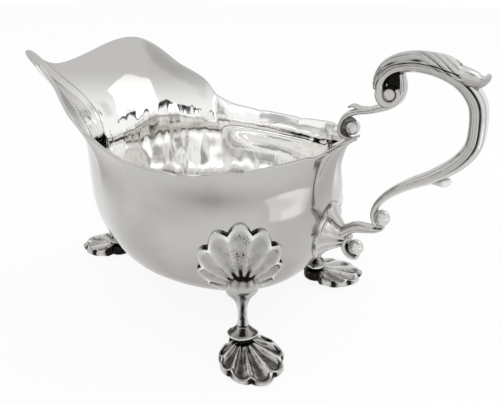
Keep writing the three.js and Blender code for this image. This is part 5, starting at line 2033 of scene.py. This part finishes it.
@dataclass
class BaseJoint:
    """Bracket with its curled tail and pellet, and the fluted plate on the bowl."""

    bowl: Bowl
    knots: tuple = (
        (50.9, 47.9, 0.5, 2.2), (48.2, 47.0, 1.2, 2.5), (44.4, 46.5, 1.7, 2.6),
        (40.9, 46.0, 1.9, 2.8), (37.9, 44.2, 2.0, 3.1), (35.2, 42.2, 2.4, 3.6),
        (32.6, 41.4, 2.8, 3.9),
    )
    ball_x: float = 41.5
    ball_z: float = 37.8
    ball_radius: float = 3.0
    ball_shaded: float = 3.4
    tail_turns: tuple = (128.0, 285.0)  # degrees, like the next two at its start and its end
    tail_reach: tuple = (4.5, 3.7)
    tail_half: tuple = (1.3, 0.8)
    tail_half_width: float = 2.5
    tail_knots: int = 16
    plate_radius: float = 12.0
    plate_z: float = 41.6
    plate_squeeze: float = 0.86
    plate_dome: float = 7.6
    plate_rise: float = 0.8
    plate_thickness: float = 0.5
    plate_roll: float = 0.4  # how far its rolled edge stands out
    gap: float = 0.3

    def tail(self) -> Surface:
        """Tail that curls round the pellet.

        Returns:
            The surface.
        """
        share = np.linspace(0.0, 1.0, self.tail_knots)
        turn = np.radians(mix(*self.tail_turns, share))
        reach = mix(*self.tail_reach, share)
        knots = np.stack((
            self.ball_x + reach * np.cos(turn), self.ball_z + reach * np.sin(turn),
            mix(*self.tail_half, share), np.full_like(share, self.tail_half_width),
        ), axis=1)
        return Bar(knots, steps=80, sides=40).surface()

    def plate(self) -> Surface:
        """Round fluted plate with the dome that the bracket springs from.

        Returns:
            The surface.
        """
        ups = np.arange(0.0, 0.5, self.bowl.search_step)
        heights = self.bowl.point(0.0, ups)[:, 2]
        up = float(np.interp(self.plate_z, heights, ups))
        # roots: patina and painted shade; notches: painted shadow; bead and ridges: wear and
        # painted highlight
        shell = FlutedShell(
            length=self.plate_radius - self.plate_roll, heel=1.0, lobes=12.0, lobe_angle=30.0,
            shortening=0.0, fall=1.0, notch=0.012, middle_height=self.gap + self.plate_rise,
            edge_height=self.gap + self.plate_thickness, slope_power=1.0, scoop=0.06, ridge=0.06,
            bead=0.25, underside=-0.6, dome=self.plate_dome, dome_spread=0.36, hollow_dark=0.12,
            root_dark=1.2, notch_dark=0.5, worn_and_sheen=0.5,
        ).make()
        x, y, height = shell.points.T
        patch = BowlPatch(self.bowl, 0.0, up)
        shell.points = patch.lay(x * self.plate_squeeze, y, height)
        return shell.outward()

    def build(self, material: bpy.types.Material) -> None:
        """Builds and dresses the joint.

        Args:
            material: finish of the handle.
        """
        bracket = Bar(self.knots, steps=100, sides=48, section=Section(side_groove=0.1))
        ball = Ball(self.ball_x, self.ball_z, self.ball_radius, self.ball_shaded).surface()
        for node, surface in (
            ("base_bracket", bracket.surface().joined(self.tail())),
            ("base_bracket_ball", ball), ("handle_joint_plate", self.plate()),
        ):
            Piece(node, Slot.HANDLE).build(surface, material)


# Studio


MIDDLE = (0.0, 0.0, 0.06)  # places in the frame, in metres, that lamps and cards stand round
LIP_HOLLOW = (-0.067, -0.005, 0.075)
NEAR_SIDE = (0.0, -0.045, 0.05)
LIP_REACH = 0.12  # metres from the lip's hollow to the cards that stand close to it


@dataclass(frozen=True)
class Lamp:
    """Soft area lamp facing the jug, by its direction and the angle it covers."""

    azimuth: float  # degrees from +Y towards +X
    elevation: float
    wide: float
    high: float
    level: float  # radiance, 1 being white
    distance: float = 1.4
    centre: Triple = MIDDLE

    def build(self, name: str) -> None:
        """Hangs the lamp, which lights the floor and leaves the silver to the cards.

        Args:
            name: name of the lamp.
        """
        away = heading(self.azimuth, self.elevation)
        turn = away.to_track_quat("Z", "Y").to_matrix().to_4x4()
        data = bpy.data.lights.new(name, "AREA")
        data.shape = "RECTANGLE"
        data.size, data.size_y = (
            2.0 * self.distance * math.tan(math.radians(angle / 2.0))
            for angle in (self.wide, self.high)
        )
        data.energy = self.level * math.pi * data.size * data.size_y
        item = bpy.data.objects.new(name, data)
        item.matrix_world = Matrix.Translation(Vector(self.centre) + away * self.distance) @ turn
        item.visible_camera = item.visible_glossy = False
        bpy.context.scene.collection.objects.link(item)


def heading(azimuth: float, elevation: float) -> Vector:
    """Unit vector of a direction in degrees, the azimuth from +Y towards +X."""
    turn, rise = math.radians(azimuth), math.radians(elevation)
    return Vector((
        math.sin(turn) * math.cos(rise), math.cos(turn) * math.cos(rise), math.sin(rise),
    ))


@dataclass(frozen=True)
class Card:
    """Studio card that shows only in the silver, cut to an outline and soft at its edge."""

    outline: tuple[tuple[float, float], ...]  # azimuth and elevation of each corner
    level: float  # radiance, 1 being white
    soft: float = 0.3  # share of the reach over which it fades
    distance: float = 1.5
    centre: Triple = MIDDLE

    @staticmethod
    def oval(
        azimuth: float, elevation: float, wide: float, high: float, corners: int = 24,
    ) -> tuple[tuple[float, float], ...]:
        """Outline of an oval card."""
        turns = [FULL_TURN * i / corners for i in range(corners)]
        return tuple(
            (azimuth + wide / 2.0 * math.cos(t), elevation + high / 2.0 * math.sin(t))
            for t in turns
        )

    def build(self, name: str) -> None:
        """Stands the card.

        Args:
            name: name of the card.
        """
        around = len(self.outline)
        middle = np.mean(self.outline, axis=0)
        spots = [middle]
        for share in (1.0 - self.soft, 1.0):
            spots += [mix(middle, np.array(corner), share) for corner in self.outline]
        start = Vector(self.centre)
        points = [start + heading(*spot) * self.distance for spot in spots]
        faces = []
        for i in range(around):
            j = (i + 1) % around
            faces.append((0, 1 + i, 1 + j))
            faces.append((1 + i, 1 + around + i, 1 + around + j, 1 + j))
        mesh = bpy.data.meshes.new(name)
        mesh.from_pydata(points, [], faces)
        fade = mesh.attributes.new("fade", "FLOAT", "POINT")
        fade.data.foreach_set("value", [1.0] * (1 + around) + [0.0] * around)
        mesh.materials.append(self.material(name))
        item = bpy.data.objects.new(name, mesh)
        item.visible_camera = item.visible_diffuse = item.visible_shadow = False
        bpy.context.scene.collection.objects.link(item)

    def material(self, name: str) -> bpy.types.Material:
        """Glow that fades out to the card's edge.

        Args:
            name: name of the card.

        Returns:
            The material.
        """
        material = bpy.data.materials.new(name)
        material.use_nodes = True
        tree = material.node_tree
        glow = tree.nodes.new("ShaderNodeEmission")
        glow.inputs["Color"].default_value = (1.0, 1.0, 1.0, 1.0)
        glow.inputs["Strength"].default_value = self.level
        clear = tree.nodes.new("ShaderNodeBsdfTransparent")
        blend = tree.nodes.new("ShaderNodeMixShader")
        fade = tree.nodes.new("ShaderNodeAttribute")
        fade.attribute_name = "fade"
        tree.links.new(Formula(tree, fade.outputs["Fac"]).eased().value, blend.inputs[0])
        tree.links.new(clear.outputs[0], blend.inputs[1])
        tree.links.new(glow.outputs[0], blend.inputs[2])
        tree.links.new(blend.outputs[0], tree.nodes["Material Output"].inputs["Surface"])
        return material


@dataclass
class Studio:
    """Pale floor, soft light and the camera at the photograph's viewing angle."""

    azimuth: float = 32.4
    elevation: float = 23.05
    camera_plan: Triple = (99.611, -164.629, 128.369)
    focal_pixels: float = 518.0
    image_width: float = 500.0
    sensor: float = 36.0  # millimetres
    clip_start: float = 0.01
    floor_size: float = 6.0
    floor_colour: Triple = (0.97, 0.97, 0.97)
    floor_roughness: float = 0.9
    floor_drop: float = 0.0002
    floor_white: float = 0.89
    world_light: float = 0.8
    lamps: tuple = (Lamp(154.0, 40.0, 38.0, 28.0, 1.9), Lamp(36.0, 42.0, 26.0, 22.0, 1.9))
    cards: tuple = (
        # softbox close to the lip, which fills its hollow, with black cloths beside it
        Card((
            (129.8, -4), (129.9, 3), (129.9, 10), (130, 17), (131.2, 23), (132.5, 30), (133, 37),
            (134, 42.5), (140, 43.8), (147, 45), (154, 47.5), (161, 50), (167, 51.5),
            (172, 49.5), (164, 43), (156, 38), (148, 31), (141, 21.5), (136, 13.5), (132.5, 4),
            (131, -4),
        ), 1.65, 0.04, LIP_REACH, LIP_HOLLOW),
        Card((
            (130.4, 18.5), (128.1, 20.3), (126, 21.3), (124.5, 21.2), (124.9, 18.6),
            (127.2, 12.2), (128.3, 5.9), (128.6, 0), (129.6, -1), (129.2, 5), (129.5, 10.2),
            (130, 14),
        ), 0.01, 0.04, LIP_REACH, LIP_HOLLOW),
        Card((
            (124.3, 20.3), (121.8, 22.8), (118.5, 25.5), (120.5, 21), (122.6, 18),
            (125.8, 10.5), (128, 4.5), (128.3, 5.9), (127.2, 12.2), (124.9, 18.6),
        ), 0.33, 0.04, LIP_REACH, LIP_HOLLOW),
        Card((
            (120, 24.5), (117.4, 23.8), (115.1, 22.4), (111.5, 21.5), (112.3, 18.6),
            (115, 19.4), (118, 20.5), (121, 21.3),
        ), 0.01, 0.1, LIP_REACH, LIP_HOLLOW),
        Card((
            (110, 22.5), (107, 21.5), (109, 18.5), (113, 15), (114.5, 16.5), (111.5, 19.5),
        ), 0.1, 0.1, LIP_REACH, LIP_HOLLOW),
        # grey screen above
        Card((
            (92, 44), (125, 44), (150, 52), (166, 62), (150, 78), (120, 80), (92, 68),
        ), 0.8, soft=0.6, distance=1.6),
        # lamp behind, for the bowl's inside, with a grey cloth over it
        Card(Card.oval(30.0, 38.0, 40.0, 24.0), 1.6),
        Card(Card.oval(52.0, 62.0, 44.0, 26.0), 0.42, soft=0.3, distance=1.4),
        Card(Card.oval(58.0, 68.0, 14.0, 6.0), 1.3, soft=0.3, distance=1.3),
        Card(Card.oval(-70.0, 12.0, 70.0, 26.0), 0.35, soft=0.8),
        Card(Card.oval(-10.0, 12.0, 46.0, 32.0), 0.5, soft=0.8),
        Card(Card.oval(-150.0, 20.0, 44.0, 28.0), 0.5, soft=0.6),
        # small window lamp low beside the jug
        Card(((72, -10.5), (93, -10.5), (92, -1.5), (73, 0.5)), 1.6, 0.25, 0.26, NEAR_SIDE),
        Card(((68, -10.5), (104, -10.5), (102, 3), (70, 3)), 1.35, 0.15, 0.27, NEAR_SIDE),
    )

    def camera(self) -> None:
        """Places the camera."""
        data = bpy.data.cameras.new("camera")
        data.sensor_width = self.sensor
        data.lens = self.focal_pixels * self.sensor / self.image_width
        data.clip_start = self.clip_start
        item = bpy.data.objects.new("camera", data)
        place = to_frame(np.array(self.camera_plan))
        turn = Matrix.Rotation(math.radians(self.azimuth), 4, "Z")
        tilt = Matrix.Rotation(math.radians(90.0 - self.elevation), 4, "X")
        item.matrix_world = Matrix.Translation(Vector(place)) @ turn @ tilt
        bpy.context.scene.collection.objects.link(item)
        bpy.context.scene.camera = item

    @staticmethod
    def seen(tree: Tree) -> Formula:
        """1 for a ray that shows the background, straight, in a reflection or through glass.

        Args:
            tree: tree of the material or the world.

        Returns:
            The field.
        """
        path = tree.nodes.new("ShaderNodeLightPath")
        rays = [Formula(tree, path.outputs[f"Is {kind} Ray"]) for kind in (
            "Camera", "Glossy", "Transmission",
        )]
        return rays[0].math("MAXIMUM", rays[1]).math("MAXIMUM", rays[2])

    def floor(self) -> None:
        """Lays the floor, which keeps the jug's shadow faintly."""
        half = self.floor_size / 2.0
        drop = -self.floor_drop
        corners = [(-half, -half, drop), (half, -half, drop), (half, half, drop)]
        mesh = bpy.data.meshes.new("floor")
        mesh.from_pydata([*corners, (-half, half, drop)], [], [(0, 1, 2, 3)])
        material = bpy.data.materials.new("pale_floor")
        material.use_nodes = True
        tree = material.node_tree
        shader = tree.nodes["Principled BSDF"]
        shader.inputs["Base Color"].default_value = (*self.floor_colour, 1.0)
        shader.inputs["Roughness"].default_value = self.floor_roughness
        shader.inputs["Specular IOR Level"].default_value = 0.0
        white = tree.nodes.new("ShaderNodeEmission")
        blend = tree.nodes.new("ShaderNodeMixShader")
        tree.links.new((self.seen(tree) * self.floor_white).value, blend.inputs[0])
        tree.links.new(shader.outputs[0], blend.inputs[1])
        tree.links.new(white.outputs[0], blend.inputs[2])
        tree.links.new(blend.outputs[0], tree.nodes["Material Output"].inputs["Surface"])
        mesh.materials.append(material)
        item = bpy.data.objects.new("floor", mesh)
        bpy.context.scene.collection.objects.link(item)

    def world(self) -> None:
        """White surroundings, a little dimmer as a light."""
        world = bpy.data.worlds.new("studio")
        world.use_nodes = True
        tree = world.node_tree
        background = tree.nodes["Background"]
        background.inputs["Color"].default_value = (1.0, 1.0, 1.0, 1.0)
        strength = self.world_light + self.seen(tree) * (1.0 - self.world_light)
        tree.links.new(strength.value, background.inputs["Strength"])
        bpy.context.scene.world = world

    def lights(self) -> None:
        """Hangs the lamps and stands the cards."""
        for index, lamp in enumerate(self.lamps):
            lamp.build(f"soft_lamp_{index}")
        for index, card in enumerate(self.cards):
            card.build(f"card_{index}")

    def build(self) -> None:
        """Sets up the whole studio."""
        self.camera()
        self.floor()
        self.world()
        self.lights()
        bpy.context.scene.view_settings.view_transform = "Standard"


def three_legs(bowl: Bowl) -> tuple[Leg, Leg, Leg]:
    """The leg under the lip and the two rear legs, which mirror each other.

    Args:
        bowl: the bowl that they hold.

    Returns:
        Spout, left and right leg.
    """
    spout = Leg(LegPlace.SPOUT, SPOUT_LEG_X, 0.0, math.pi, SPOUT_LEG_LEAN, bowl)
    left, right = (
        Leg(place, REAR_LEG_X, side * REAR_LEG_Y, side * REAR_LEG_ANGLE, REAR_LEG_LEAN, bowl)
        for place, side in ((LegPlace.LEFT, -1.0), (LegPlace.RIGHT, 1.0))
    )
    return spout, left, right


def main() -> None:
    """Builds the jug and its studio."""
    logging.basicConfig(level=logging.INFO, format="%(name)s %(message)s")
    bowl = Bowl()
    bowl.build()
    cast = CAST_SILVER.make()
    for leg in three_legs(bowl):
        leg.build(cast)
    chased = CHASED_SILVER.make()
    for part in (Handle(), RimJoint(), BaseJoint(bowl)):
        part.build(chased)
    Studio().build()


if __name__ == "__main__":
    main()
